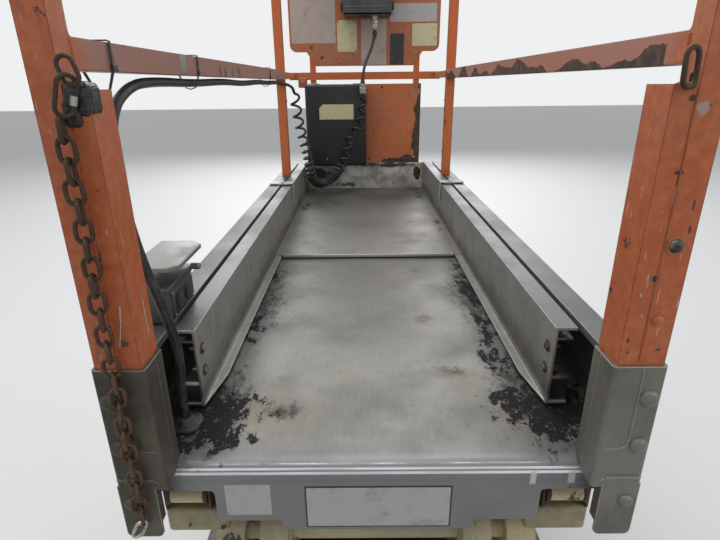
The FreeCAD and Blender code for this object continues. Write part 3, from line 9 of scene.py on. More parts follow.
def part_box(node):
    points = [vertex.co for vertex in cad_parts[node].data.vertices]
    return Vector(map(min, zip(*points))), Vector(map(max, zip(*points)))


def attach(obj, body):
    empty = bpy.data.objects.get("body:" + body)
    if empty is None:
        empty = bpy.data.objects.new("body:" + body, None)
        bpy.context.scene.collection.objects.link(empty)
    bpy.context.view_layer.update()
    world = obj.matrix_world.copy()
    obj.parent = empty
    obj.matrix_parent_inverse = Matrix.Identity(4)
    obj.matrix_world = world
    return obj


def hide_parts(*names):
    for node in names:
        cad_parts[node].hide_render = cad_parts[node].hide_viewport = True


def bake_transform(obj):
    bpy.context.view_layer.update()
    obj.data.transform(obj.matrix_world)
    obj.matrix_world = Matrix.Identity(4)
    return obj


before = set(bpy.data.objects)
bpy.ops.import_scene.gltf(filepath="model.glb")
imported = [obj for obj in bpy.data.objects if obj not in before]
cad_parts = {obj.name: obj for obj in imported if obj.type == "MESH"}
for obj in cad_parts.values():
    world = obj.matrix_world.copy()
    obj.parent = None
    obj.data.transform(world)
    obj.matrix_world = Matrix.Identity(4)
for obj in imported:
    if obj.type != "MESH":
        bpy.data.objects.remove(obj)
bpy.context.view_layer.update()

# Camera and studio. The photographer stands at the platform's rear gate and looks forward and down.
# A pale floor and a white surround stand in for the hall; the big light is high up in front.
FOCAL_PIXELS, FRAME_WIDTH = 492.06, 720
EYE = Vector((-0.0192, -1.478, 1.4039))
DOWN, TURN, TILT = 0.3631, 0.0047, -0.0101

lens = bpy.data.cameras.new("photo_camera")
lens.sensor_width = 36
lens.lens = FOCAL_PIXELS / FRAME_WIDTH * lens.sensor_width
lens.clip_start = 0.02
camera = bpy.data.objects.new("photo_camera", lens)
bpy.context.collection.objects.link(camera)
turned = Matrix.Rotation(TURN, 4, "Z") @ Matrix.Rotation(math.pi / 2 - DOWN, 4, "X") @ Matrix.Rotation(TILT, 4, "Z")
camera.matrix_world = Matrix.Translation(EYE) @ turned
bpy.context.scene.camera = camera
bpy.context.scene.view_settings.view_transform = "Standard"


def link_mesh(name, mesh):
    piece = bpy.data.objects.new(name, mesh)
    bpy.context.collection.objects.link(piece)
    return piece


def new_finish(name):
    """A material with its nodes, its links and its principled shader."""
    finish = bpy.data.materials.new(name)
    finish.use_nodes = True
    tree = finish.node_tree
    return finish, tree, tree.nodes["Principled BSDF"]


def add_node(tree, kind, **settings):
    node = tree.nodes.new(kind)
    for key, value in settings.items():
        if key in node.inputs.keys():
            node.inputs[key].default_value = value
        else:
            setattr(node, key, value)
    return node


floor_mesh = bpy.data.meshes.new("hall_floor")
floor_mesh.from_pydata([(-30, -30, 0), (30, -30, 0), (30, 30, 0), (-30, 30, 0)], [], [(0, 1, 2, 3)])
hall_floor = link_mesh("hall_floor", floor_mesh)
floor_paint, tree, shader = new_finish("hall_floor_paint")
speckle = add_node(tree, "ShaderNodeTexNoise", Scale=9.0, Detail=6.0)
floor_shades = add_node(tree, "ShaderNodeMapRange")
floor_shades.inputs["To Min"].default_value = 0.60
floor_shades.inputs["To Max"].default_value = 0.66
tree.links.new(speckle.outputs["Fac"], floor_shades.inputs["Value"])
tree.links.new(floor_shades.outputs["Result"], shader.inputs["Base Color"])
shader.inputs["Roughness"].default_value = 0.55
floor_mesh.materials.append(floor_paint)

world = bpy.data.worlds.new("hall_light")
world.use_nodes = True
bpy.context.scene.world = world
sky = world.node_tree
soft_sky = sky.nodes["Background"]
soft_sky.inputs["Color"].default_value = (0.93, 0.96, 1, 1)
soft_sky.inputs["Strength"].default_value = 0.45
white_sky = add_node(sky, "ShaderNodeBackground", Strength=1.0)
white_sky.inputs["Color"].default_value = (0.86, 0.87, 0.88, 1)
seen = add_node(sky, "ShaderNodeLightPath")
seen_or_mirrored = add_node(sky, "ShaderNodeMath", operation="MAXIMUM")
sky.links.new(seen.outputs["Is Camera Ray"], seen_or_mirrored.inputs[0])
sky.links.new(seen.outputs["Is Glossy Ray"], seen_or_mirrored.inputs[1])
with_glass = add_node(sky, "ShaderNodeMath", operation="MAXIMUM")
sky.links.new(seen_or_mirrored.outputs[0], with_glass.inputs[0])
sky.links.new(seen.outputs["Is Transmission Ray"], with_glass.inputs[1])
choose_sky = add_node(sky, "ShaderNodeMixShader")
sky.links.new(with_glass.outputs[0], choose_sky.inputs[0])
sky.links.new(soft_sky.outputs[0], choose_sky.inputs[1])
sky.links.new(white_sky.outputs[0], choose_sky.inputs[2])
sky.links.new(choose_sky.outputs[0], sky.nodes["World Output"].inputs["Surface"])

for lamp_name, place, width, power, aim in (
    ("door_light", (0, 6.5, 5.0), 6.0, 420, (0, 0, 0.8)),
    ("ceiling_light", (-1.5, -0.5, 5.0), 4.0, 130, (0, 0, 0.8)),
    ("side_light", (4.5, -3.0, 3.5), 3.0, 60, (0, -0.3, 0.8)),
):
    lamp = bpy.data.lights.new(lamp_name, "AREA")
    lamp.size = width
    lamp.energy = power
    holder = bpy.data.objects.new(lamp_name, lamp)
    bpy.context.collection.objects.link(holder)
    holder.location = place
    holder.rotation_euler = (Vector(aim) - Vector(place)).to_track_quat("-Z", "Y").to_euler()


# Power cable. A black rubber cable comes up through the deck's grommet, climbs behind the left rear post's
# stub and runs forward under the mid rail. It is moulded in one length, and nylon ties hold it to the rail.
POWER_ROUTE = [
    (-0.300, -0.835, 0.900), (-0.300, -0.835, 0.960), (-0.293, -0.833, 1.035), (-0.300, -0.853, 1.115),
    (-0.316, -0.862, 1.200), (-0.326, -0.861, 1.290), (-0.330, -0.843, 1.370), (-0.330, -0.775, 1.404),
    (-0.330, -0.685, 1.409), (-0.331, -0.495, 1.406), (-0.328, -0.295, 1.410), (-0.330, -0.100, 1.405),
    (-0.329, 0.095, 1.410), (-0.330, 0.285, 1.407), (-0.329, 0.465, 1.410), (-0.326, 0.545, 1.404),
]
CABLE_RADIUS = 0.007
TIE_PLACES = (-0.848, -0.518, 0.244)


def smooth_line(name, route, radius):
    """A cord's curve: one spline of order three through the room that the route's points frame."""
    curve = bpy.data.curves.new(name, "CURVE")
    curve.dimensions = "3D"
    curve.bevel_depth = radius
    curve.bevel_resolution = 4
    curve.resolution_u = 6
    curve.use_fill_caps = True
    spline = curve.splines.new("NURBS")
    spline.points.add(len(route) - 1)
    for point, place in zip(spline.points, route):
        point.co = (*place, 1)
    spline.order_u = 3
    spline.use_endpoint_u = True
    piece = bpy.data.objects.new(name, curve)
    bpy.context.collection.objects.link(piece)
    return piece


def shaded(tree, value, low, high, to_low=0.0, to_high=1.0):
    """A smooth step from one value to another."""
    step = add_node(tree, "ShaderNodeMapRange", interpolation_type="SMOOTHSTEP")
    step.inputs["From Min"].default_value = low
    step.inputs["From Max"].default_value = high
    step.inputs["To Min"].default_value = to_low
    step.inputs["To Max"].default_value = to_high
    tree.links.new(value, step.inputs["Value"])
    return step.outputs["Result"]


def blended(tree, share, first, second):
    """A colour between two others. Each is a socket or three numbers."""
    mix = add_node(tree, "ShaderNodeMix", data_type="RGBA")
    for socket, colour in ((mix.inputs[6], first), (mix.inputs[7], second)):
        if isinstance(colour, tuple):
            socket.default_value = (*colour, 1)
        else:
            tree.links.new(colour, socket)
    tree.links.new(share, mix.inputs[0])
    return mix.outputs[2]


def speckled(tree, scale, detail=4.0, roughness=0.6, stretch=(1, 1, 1), seed=0.0):
    """Noise that stays with the piece, drawn out along an axis where stretch is small."""
    place = add_node(tree, "ShaderNodeTexCoord")
    spread = add_node(tree, "ShaderNodeMapping")
    spread.inputs["Scale"].default_value = stretch
    spread.inputs["Location"].default_value = (seed, seed, seed)
    tree.links.new(place.outputs["Object"], spread.inputs["Vector"])
    cloud = add_node(tree, "ShaderNodeTexNoise", Scale=scale, Detail=detail, Roughness=roughness)
    tree.links.new(spread.outputs["Vector"], cloud.inputs["Vector"])
    return cloud.outputs["Fac"]


def relief(tree, shader, height, distance, strength=1.0):
    """Feeds a height to the shader as small bumps."""
    bump = add_node(tree, "ShaderNodeBump", Distance=distance, Strength=strength)
    tree.links.new(height, bump.inputs["Height"])
    tree.links.new(bump.outputs["Normal"], shader.inputs["Normal"])


rubber, tree, shader = new_finish("cable_rubber")
dust = speckled(tree, 60.0, 6.0)
tree.links.new(blended(tree, shaded(tree, dust, 0.42, 0.75), (0.010, 0.010, 0.011), (0.055, 0.052, 0.049)),
               shader.inputs["Base Color"])
tree.links.new(shaded(tree, dust, 0.3, 0.7, 0.38, 0.62), shader.inputs["Roughness"])
relief(tree, shader, dust, 0.0004)

power_line = smooth_line("power_line", POWER_ROUTE, CABLE_RADIUS)
power_line.data.materials.append(rubber)
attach(power_line, "platform")
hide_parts("power_cable")

nylon, tree, shader = new_finish("tie_nylon")
tree.links.new(blended(tree, shaded(tree, speckled(tree, 90.0), 0.4, 0.7), (0.02, 0.02, 0.022), (0.06, 0.058, 0.055)),
               shader.inputs["Base Color"])
shader.inputs["Roughness"].default_value = 0.4


def banded_loop(name, corners, width, thickness, along):
    """A flat band round the given (across, up) corners, with a square head at its first corner."""
    mesh = bmesh.new()
    rings = []
    centre = Vector((sum(c[0] for c in corners), sum(c[1] for c in corners))) / len(corners)
    for grow in (0, thickness):
        for shift in (-width / 2, width / 2):
            ring = []
            for corner in corners:
                outward = (Vector(corner) - centre).normalized() * grow * 1.4
                ring.append(mesh.verts.new((corner[0] + outward.x, along + shift, corner[1] + outward.y)))
            rings.append(ring)
    count = len(corners)
    for place in range(count):
        after = (place + 1) % count
        for one, other in ((0, 1), (1, 3), (3, 2), (2, 0)):
            mesh.faces.new((rings[one][place], rings[one][after], rings[other][after], rings[other][place]))
    bmesh.ops.recalc_face_normals(mesh, faces=mesh.faces)
    head = bmesh.ops.create_cube(mesh, size=1)["verts"]
    first = Vector(corners[0])
    bmesh.ops.scale(mesh, verts=head, vec=(0.006, 0.007, 0.007))
    bmesh.ops.translate(mesh, verts=head, vec=(first.x, along, first.y))
    bmesh.ops.bevel(mesh, geom=[e for e in mesh.edges if all(v in head for v in e.verts)], offset=0.0012,
                    segments=2, affect="EDGES", profile=0.5)
    data = bpy.data.meshes.new(name)
    mesh.to_mesh(data)
    mesh.free()
    return link_mesh(name, data)


for number, along in enumerate(TIE_PLACES, start=1):
    loop = [(-0.3125, 1.424), (-0.3125, 1.4515), (-0.3145, 1.4525), (-0.3455, 1.4525), (-0.3475, 1.4505),
            (-0.3475, 1.420), (-0.338, 1.3995), (-0.330, 1.397), (-0.321, 1.400)]
    tie = banded_loop(f"cable_tie_{number}", loop, 0.005, 0.0012, along)
    tie.data.materials.append(nylon)
    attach(tie, "platform")

# Control cable. A plain round cable leaves the gland below the control box and goes down to the gland on the
# manual box's edge. It is the straight end of the curly cord.
CONTROL_ROUTE = [(0.044, 0.891, 1.630), (0.044, 0.891, 1.570), (-0.010, 0.8405, 1.465), (-0.010, 0.8405, 1.400)]

control_line = smooth_line("control_line", CONTROL_ROUTE, 0.006)
control_line.data.materials.append(rubber)
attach(control_line, "extension")
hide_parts("control_cable")

# Curly cord. A moulded black coil hangs from the cord gland, lies over the deck's corner with its turns closed up, and
# rises to the left far post, where a short splice under the mid rail joins its end to the power cable.
CURLY_ROUTE = [
    (-0.010, 0.8405, 1.355), (-0.010, 0.8405, 1.285), (-0.022, 0.8375, 1.215), (-0.070, 0.8355, 1.180),
    (-0.090, 0.8325, 1.085), (-0.130, 0.8285, 1.010), (-0.195, 0.8185, 0.960), (-0.243, 0.7855, 0.985),
    (-0.252, 0.761, 1.060), (-0.262, 0.726, 1.140), (-0.276, 0.691, 1.220), (-0.286, 0.666, 1.300),
    (-0.289, 0.643, 1.370),
]
TURN_PITCHES = ((0.0, 0.052), (0.30, 0.050), (0.40, 0.0125), (0.56, 0.0125), (0.62, 0.026), (0.74, 0.036), (1.0, 0.060))
COIL_MIDDLE, WIRE_RADIUS, POINTS_A_TURN = 0.0182, 0.0053, 14


def points_of(piece):
    """The points that a curve with no bevel runs through."""
    bpy.context.view_layer.update()
    depsgraph = bpy.context.evaluated_depsgraph_get()
    mesh = bpy.data.meshes.new_from_object(piece.evaluated_get(depsgraph))
    points = [vertex.co.copy() for vertex in mesh.vertices]
    bpy.data.meshes.remove(mesh)
    return points


def pitch_at(share):
    for (low, first), (high, second) in zip(TURN_PITCHES, TURN_PITCHES[1:]):
        if share <= high:
            return first + (second - first) * (share - low) / (high - low)
    return TURN_PITCHES[-1][1]


def coiled(points, radius):
    """Winds a helix about a line of points, with its turns spread as the pitches say."""
    lengths = [0.0]
    for before, after in zip(points, points[1:]):
        lengths.append(lengths[-1] + (after - before).length)
    total = lengths[-1]
    winding, travelled, angle, place = [], 0.0, 0.0, 0
    forward = (points[1] - points[0]).normalized()
    side = forward.orthogonal().normalized()
    while travelled < total:
        while place < len(points) - 2 and lengths[place + 1] < travelled:
            place += 1
        share = (travelled - lengths[place]) / (lengths[place + 1] - lengths[place])
        centre = points[place].lerp(points[place + 1], share)
        forward = (points[place + 1] - points[place]).normalized()
        side = (side - forward * side.dot(forward)).normalized()
        near_end = min(travelled, total - travelled, 0.016) / 0.016
        reach = radius * (3 * near_end ** 2 - 2 * near_end ** 3)
        winding.append(centre + (side * math.cos(angle) + forward.cross(side) * math.sin(angle)) * reach)
        angle += math.tau / POINTS_A_TURN
        travelled += pitch_at(travelled / total) / POINTS_A_TURN
    winding.append(points[-1])
    return winding


coil_line = smooth_line("coil_line", CURLY_ROUTE, 0)
winding = coiled(points_of(coil_line), COIL_MIDDLE)
bpy.data.objects.remove(coil_line)
turns_line = smooth_line("turns_line", winding, 0)
turns_line.data.resolution_u = 2
wire_path = points_of(turns_line)
turns_line.data.bevel_depth = WIRE_RADIUS
turns_line.data.bevel_resolution = 2
bpy.context.view_layer.update()
wound = turns_line.evaluated_get(bpy.context.evaluated_depsgraph_get())
curly_cord = link_mesh("curly_cord_turns", bpy.data.meshes.new_from_object(wound))
bpy.data.objects.remove(turns_line)
curly_cord.data.materials.clear()
curly_cord.data.materials.append(rubber)
for face in curly_cord.data.polygons:
    face.use_smooth = True
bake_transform(curly_cord)
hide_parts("curly_cord")


splice = smooth_line("cord_splice", [
    (-0.326, 0.545, 1.404), (-0.309, 0.554, 1.402), (-0.3035, 0.580, 1.400), (-0.3010, 0.612, 1.396),
    (-0.2930, 0.640, 1.388), (-0.2890, 0.643, 1.370)], 0.0058)
splice.data.materials.append(rubber)
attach(splice, "platform")


# Chassis. A welded steel box with bolted end plates, bulkheads, kingpin housings and arm mounts, painted
# dark grey. The paint is scuffed along its edges and dusty on top.
def new_group(name, inputs, outputs):
    """An empty node group with its sockets, its entry and its exit."""
    group = bpy.data.node_groups.new(name, "ShaderNodeTree")
    for label, value in inputs:
        kind = "NodeSocketColor" if isinstance(value, tuple) else "NodeSocketFloat"
        socket = group.interface.new_socket(label, in_out="INPUT", socket_type=kind)
        socket.default_value = (*value, 1) if isinstance(value, tuple) else value
    for label, kind in outputs:
        group.interface.new_socket(label, in_out="OUTPUT", socket_type=kind)
    return group, group.nodes.new("NodeGroupInput"), group.nodes.new("NodeGroupOutput")


def place_group(tree, group, **values):
    node = tree.nodes.new("ShaderNodeGroup")
    node.node_tree = group
    for label, value in values.items():
        socket = node.inputs[label.replace("_", " ")]
        if isinstance(value, tuple):
            socket.default_value = (*value, 1)
        elif isinstance(value, (int, float)):
            socket.default_value = value
        else:
            tree.links.new(value, socket)
    return node


def combined(tree, operation, first, second):
    node = add_node(tree, "ShaderNodeMath", operation=operation)
    node.use_clamp = operation in ("ADD", "MULTIPLY_ADD")
    for socket, value in ((node.inputs[0], first), (node.inputs[1], second)):
        if isinstance(value, (int, float)):
            socket.default_value = value
        else:
            tree.links.new(value, socket)
    return node.outputs[0]


# Edge wear: how bare a corner is, from how far a rounded normal leans off the face, broken up by noise.
edge_wear, entry, leave = new_group(
    "edge_wear", (("Width", 0.0025), ("Amount", 0.5), ("Break Up", 60.0)),
    (("Worn", "NodeSocketFloat"), ("Normal", "NodeSocketVector")),
)
rounded = add_node(edge_wear, "ShaderNodeBevel", samples=4)
edge_wear.links.new(entry.outputs["Width"], rounded.inputs["Radius"])
flat = add_node(edge_wear, "ShaderNodeNewGeometry")
lean = add_node(edge_wear, "ShaderNodeVectorMath", operation="DOT_PRODUCT")
edge_wear.links.new(rounded.outputs["Normal"], lean.inputs[0])
edge_wear.links.new(flat.outputs["True Normal"], lean.inputs[1])
sharpness = shaded(edge_wear, lean.outputs["Value"], 0.78, 1.0, 1.0, 0.0)
broken = add_node(edge_wear, "ShaderNodeTexNoise", Detail=6.0, Roughness=0.7)
edge_place = add_node(edge_wear, "ShaderNodeTexCoord")
edge_wear.links.new(edge_place.outputs["Object"], broken.inputs["Vector"])
edge_wear.links.new(entry.outputs["Break Up"], broken.inputs["Scale"])
ragged = combined(edge_wear, "MULTIPLY", sharpness, broken.outputs["Fac"])
scaled = combined(edge_wear, "MULTIPLY", ragged, entry.outputs["Amount"])
edge_wear.links.new(shaded(edge_wear, scaled, 0.14, 0.26), leave.inputs["Worn"])
edge_wear.links.new(rounded.outputs["Normal"], leave.inputs["Normal"])

# Chips: patches where the paint has come off, with pale scratches beside them.
paint_chips, entry, leave = new_group(
    "paint_chips", (("Size", 22.0), ("Share", 0.5), ("Seed", 0.0)),
    (("Chip", "NodeSocketFloat"), ("Scratch", "NodeSocketFloat"), ("Cloud", "NodeSocketFloat")),
)
chip_place = add_node(paint_chips, "ShaderNodeTexCoord")
shifted = add_node(paint_chips, "ShaderNodeVectorMath", operation="ADD")
paint_chips.links.new(chip_place.outputs["Object"], shifted.inputs[0])
paint_chips.links.new(entry.outputs["Seed"], shifted.inputs[1])
clouds = []
for detail, factor in ((8.0, 1.0), (3.0, 0.25), (5.0, 3.2)):
    cloud = add_node(paint_chips, "ShaderNodeTexNoise", Detail=detail, Roughness=0.68)
    paint_chips.links.new(shifted.outputs[0], cloud.inputs["Vector"])
    paint_chips.links.new(combined(paint_chips, "MULTIPLY", entry.outputs["Size"], factor), cloud.inputs["Scale"])
    clouds.append(cloud.outputs["Fac"])
patchy = combined(paint_chips, "ADD", clouds[0], combined(paint_chips, "MULTIPLY", clouds[1], 0.55))
lifted = combined(paint_chips, "ADD", patchy, combined(paint_chips, "MULTIPLY", entry.outputs["Share"], 0.3))
lift_node = lifted.node
lift_node.use_clamp = False
patchy.node.use_clamp = False
paint_chips.links.new(shaded(paint_chips, lifted, 1.04, 1.065), leave.inputs["Chip"])
streaks = add_node(paint_chips, "ShaderNodeMapping")
streaks.inputs["Scale"].default_value = (1.0, 1.0, 0.16)
streaks.inputs["Rotation"].default_value = (0.3, 0.5, 0.2)
paint_chips.links.new(shifted.outputs[0], streaks.inputs["Vector"])
hairs = add_node(paint_chips, "ShaderNodeTexNoise", Scale=190.0, Detail=2.0, Roughness=0.5)
paint_chips.links.new(streaks.outputs[0], hairs.inputs["Vector"])
paint_chips.links.new(shaded(paint_chips, hairs.outputs["Fac"], 0.69, 0.73), leave.inputs["Scratch"])
paint_chips.links.new(clouds[2], leave.inputs["Cloud"])


def painted(name, paint, faded, bare, chip_share, chip_size=22.0, roughness=0.42, edge=0.7, seed=0.0,
            dusting=0.25, dust_colour=(0.20, 0.19, 0.17)):
    """Paint on steel: faded in clouds, chipped to a bare colour, worn at the edges, and dusty."""
    finish, tree, shader = new_finish(name)
    wear = place_group(tree, edge_wear, Width=0.0022, Amount=edge, Break_Up=70.0)
    chips = place_group(tree, paint_chips, Size=chip_size, Share=chip_share, Seed=seed)
    coat = blended(tree, shaded(tree, chips.outputs["Cloud"], 0.38, 0.66), paint, faded)
    dusty = combined(tree, "MULTIPLY", shaded(tree, speckled(tree, 7.0, 7.0, seed=seed + 3), 0.42, 0.72), dusting)
    coat = blended(tree, dusty, coat, dust_colour)
    gone = combined(tree, "MAXIMUM", wear.outputs["Worn"], chips.outputs["Chip"])
    pale = tuple(min(1.0, channel * 0.6 + 0.32) for channel in faded)
    coat = blended(tree, combined(tree, "MULTIPLY", chips.outputs["Scratch"], 0.55), coat, pale)
    metal = blended(tree, shaded(tree, chips.outputs["Cloud"], 0.42, 0.6), bare, tuple(c * 0.45 for c in bare))
    tree.links.new(blended(tree, gone, coat, metal), shader.inputs["Base Color"])
    tree.links.new(shaded(tree, combined(tree, "ADD", gone, dusty), 0.0, 1.0, roughness, 0.72),
                   shader.inputs["Roughness"])
    bump = add_node(tree, "ShaderNodeBump", Distance=0.0005, Strength=0.8)
    paint_height = combined(tree, "SUBTRACT", combined(tree, "MULTIPLY", chips.outputs["Cloud"], 0.25), gone)
    tree.links.new(paint_height, bump.inputs["Height"])
    tree.links.new(wear.outputs["Normal"], bump.inputs["Normal"])
    tree.links.new(bump.outputs["Normal"], shader.inputs["Normal"])
    return finish, tree, shader, coat, gone


def dress(finish, *names):
    """Gives CAD nodes their finish."""
    for name in names:
        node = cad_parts[name]
        for slot in node.material_slots:
            slot.link = "DATA"
            slot.material = finish


chassis_paint = painted("chassis_paint", (0.035, 0.036, 0.038), (0.06, 0.06, 0.06), (0.17, 0.14, 0.12), 0.12)[0]
dusty_paint = painted("dusty_paint", (0.035, 0.036, 0.038), (0.06, 0.06, 0.06), (0.17, 0.14, 0.12), 0.12,
                      dusting=0.8, seed=4.0)[0]
dress(chassis_paint, "chassis_frame", "end_plates", "bulkheads", "kingpin_housings", "rear_axle")
dress(dusty_paint, "top_plate", "arm_mounts")

zinc, tree, shader = new_finish("zinc_bolts")
shader.inputs["Metallic"].default_value = 1.0
wear = place_group(tree, edge_wear, Width=0.0008, Amount=0.5, Break_Up=200.0)
rust = shaded(tree, speckled(tree, 140.0, 6.0), 0.5, 0.66)
tree.links.new(blended(tree, rust, (0.42, 0.41, 0.39), (0.16, 0.10, 0.065)), shader.inputs["Base Color"])
tree.links.new(shaded(tree, rust, 0.0, 1.0, 0.36, 0.75), shader.inputs["Roughness"])
tree.links.new(wear.outputs["Normal"], shader.inputs["Normal"])


def turned(mesh, profile, point, direction, segments=24):
    """Turns a profile of (radius, along) about an axis that starts at a point."""
    axis = Vector(direction).normalized()
    basis = axis.to_track_quat("Z", "Y").to_matrix()
    rings = []
    for radius, along in profile:
        if radius <= 0:
            rings.append([mesh.verts.new(Vector(point) + axis * along)])
            continue
        ring = []
        for step in range(segments):
            angle = math.tau * step / segments
            spot = Vector((radius * math.cos(angle), radius * math.sin(angle), along))
            ring.append(mesh.verts.new(Vector(point) + basis @ spot))
        rings.append(ring)
    for lower, upper in zip(rings, rings[1:]):
        for step in range(segments):
            after = (step + 1) % segments
            if len(lower) == 1 and len(upper) == 1:
                continue
            if len(lower) == 1:
                mesh.faces.new((lower[0], upper[after], upper[step]))
            elif len(upper) == 1:
                mesh.faces.new((lower[step], lower[after], upper[0]))
            else:
                mesh.faces.new((lower[step], lower[after], upper[after], upper[step]))


def block(mesh, low, high, bevel=0.0, segments=2):
    """A rectangular body between two corners, with its edges rounded."""
    made = bmesh.ops.create_cube(mesh, size=1)["verts"]
    low, high = Vector(low), Vector(high)
    bmesh.ops.scale(mesh, verts=made, vec=high - low)
    bmesh.ops.translate(mesh, verts=made, vec=(low + high) / 2)
    if bevel:
        kept = set(made)
        edges = [edge for edge in mesh.edges if edge.verts[0] in kept and edge.verts[1] in kept]
        bmesh.ops.bevel(mesh, geom=edges, offset=bevel, segments=segments, affect="EDGES", profile=0.5)


def hex_bolt(mesh, point, direction, radius=0.009, height=0.006):
    """A washer and a hexagon head, seen from outside."""
    turned(mesh, [(0, 0), (radius * 1.3, 0), (radius * 1.3, radius * 0.16), (radius * 0.9, radius * 0.2)], point,
           direction, 20)
    base = radius * 0.18
    turned(mesh, [(radius, base), (radius, base + height * 0.8), (radius * 0.86, base + height), (0, base + height)],
           point, direction, 6)


def dome_bolt(mesh, point, direction, radius=0.011, height=0.005):
    """The round head of a carriage bolt."""
    arc = [(radius * math.cos(a * math.pi / 12), height * math.sin(a * math.pi / 12)) for a in range(6)]
    turned(mesh, [(radius * 0.96, -0.0005)] + arc + [(0, height)], point, direction, 20)


def put(mesh, name, finish, body, angle=32):
    """Makes the drawn mesh a piece that rides on a body."""
    bmesh.ops.recalc_face_normals(mesh, faces=mesh.faces)
    data = bpy.data.meshes.new(name)
    mesh.to_mesh(data)
    mesh.free()
    data.shade_smooth()
    data.set_sharp_from_angle(angle=math.radians(angle))
    piece = link_mesh(name, data)
    data.materials.append(finish)
    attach(piece, body)
    return piece


chassis_bolts = bmesh.new()
for along, facing in ((-0.9, -1), (0.9, 1)):
    for across in (-0.31, -0.23, 0.23, 0.31):
        for up in (0.20, 0.33):
            hex_bolt(chassis_bolts, (across, along, up), (0, facing, 0), 0.010)
for across in (-0.325, 0.325):
    for along in (-0.862, -0.768):
        hex_bolt(chassis_bolts, (across, along, 0.440), (0, 0, 1), 0.010)
for across in (-0.163, 0.163):
    for along in (0.02, 0.22, 0.42, 0.62, 0.80):
        hex_bolt(chassis_bolts, (across, along, 0.440), (0, 0, 1), 0.008)
put(chassis_bolts, "chassis_bolts", zinc, "chassis")


def weld_bead(mesh, start, end, radius=0.0035, pitch=0.006):
    """A row of overlapping ripples, as a hand weld leaves them."""
    start, end = Vector(start), Vector(end)
    axis = (end - start).normalized()
    count = max(2, int((end - start).length / pitch))
    profile = [(0, 0)]
    for step in range(count):
        share = (step + 0.5) / count * (end - start).length
        profile += [(radius * 0.82, share - pitch * 0.3), (radius, share + pitch * 0.1)]
    profile.append((0, (end - start).length))
    turned(mesh, profile, start, axis, 8)


chassis_welds = bmesh.new()
for across in (-0.2782, -0.2982, 0.2782, 0.2982):
    weld_bead(chassis_welds, (across, -0.889, 0.4405), (across, -0.741, 0.4405))
for across in (-0.1905, 0.1905):
    weld_bead(chassis_welds, (across, -0.88, 0.4305), (across, 0.48, 0.4305), 0.003)
    weld_bead(chassis_welds, (across * 1.5, 0.895, 0.4405), (across, 0.895, 0.4405), 0.003)
put(chassis_welds, "chassis_welds", chassis_paint, "chassis")

# Wheels. Solid non-marking rubber tyres are pressed on cream steel rims. Each rim has a dished web, a
# castle nut with its cotter pin, and the tyre has two grooves and scuffed shoulders.
tyre_rubber, tree, shader = new_finish("tyre_rubber")
grit = speckled(tree, 55.0, 8.0, 0.7)
scuffs = speckled(tree, 8.0, 5.0, seed=2.0)
worn_rubber = blended(tree, shaded(tree, grit, 0.4, 0.7), (0.022, 0.022, 0.023), (0.075, 0.072, 0.067))
tree.links.new(blended(tree, shaded(tree, scuffs, 0.5, 0.75), worn_rubber, (0.17, 0.165, 0.15)),
               shader.inputs["Base Color"])
tree.links.new(shaded(tree, grit, 0.3, 0.8, 0.62, 0.9), shader.inputs["Roughness"])
relief(tree, shader, grit, 0.0008)
rim_paint = painted("rim_paint", (0.55, 0.52, 0.44), (0.46, 0.43, 0.36), (0.18, 0.12, 0.08), 0.25, seed=7.0,
                    dusting=0.45)[0]
TREAD = [
    (0.1125, -0.048), (0.118, -0.050), (0.138, -0.050), (0.1395, -0.0488), (0.141, -0.050), (0.150, -0.0488),
    (0.157, -0.0445), (0.1605, -0.0380), (0.1615, -0.030), (0.1615, -0.019), (0.1588, -0.0178), (0.1588, -0.0142),
    (0.1615, -0.013), (0.1615, 0.0), (0.1615, 0.013), (0.1588, 0.0142), (0.1588, 0.0178), (0.1615, 0.019),
    (0.1615, 0.030), (0.1605, 0.0380), (0.157, 0.0445), (0.150, 0.0488), (0.141, 0.050), (0.1395, 0.0488),
    (0.138, 0.050), (0.118, 0.050), (0.1125, 0.048),
]
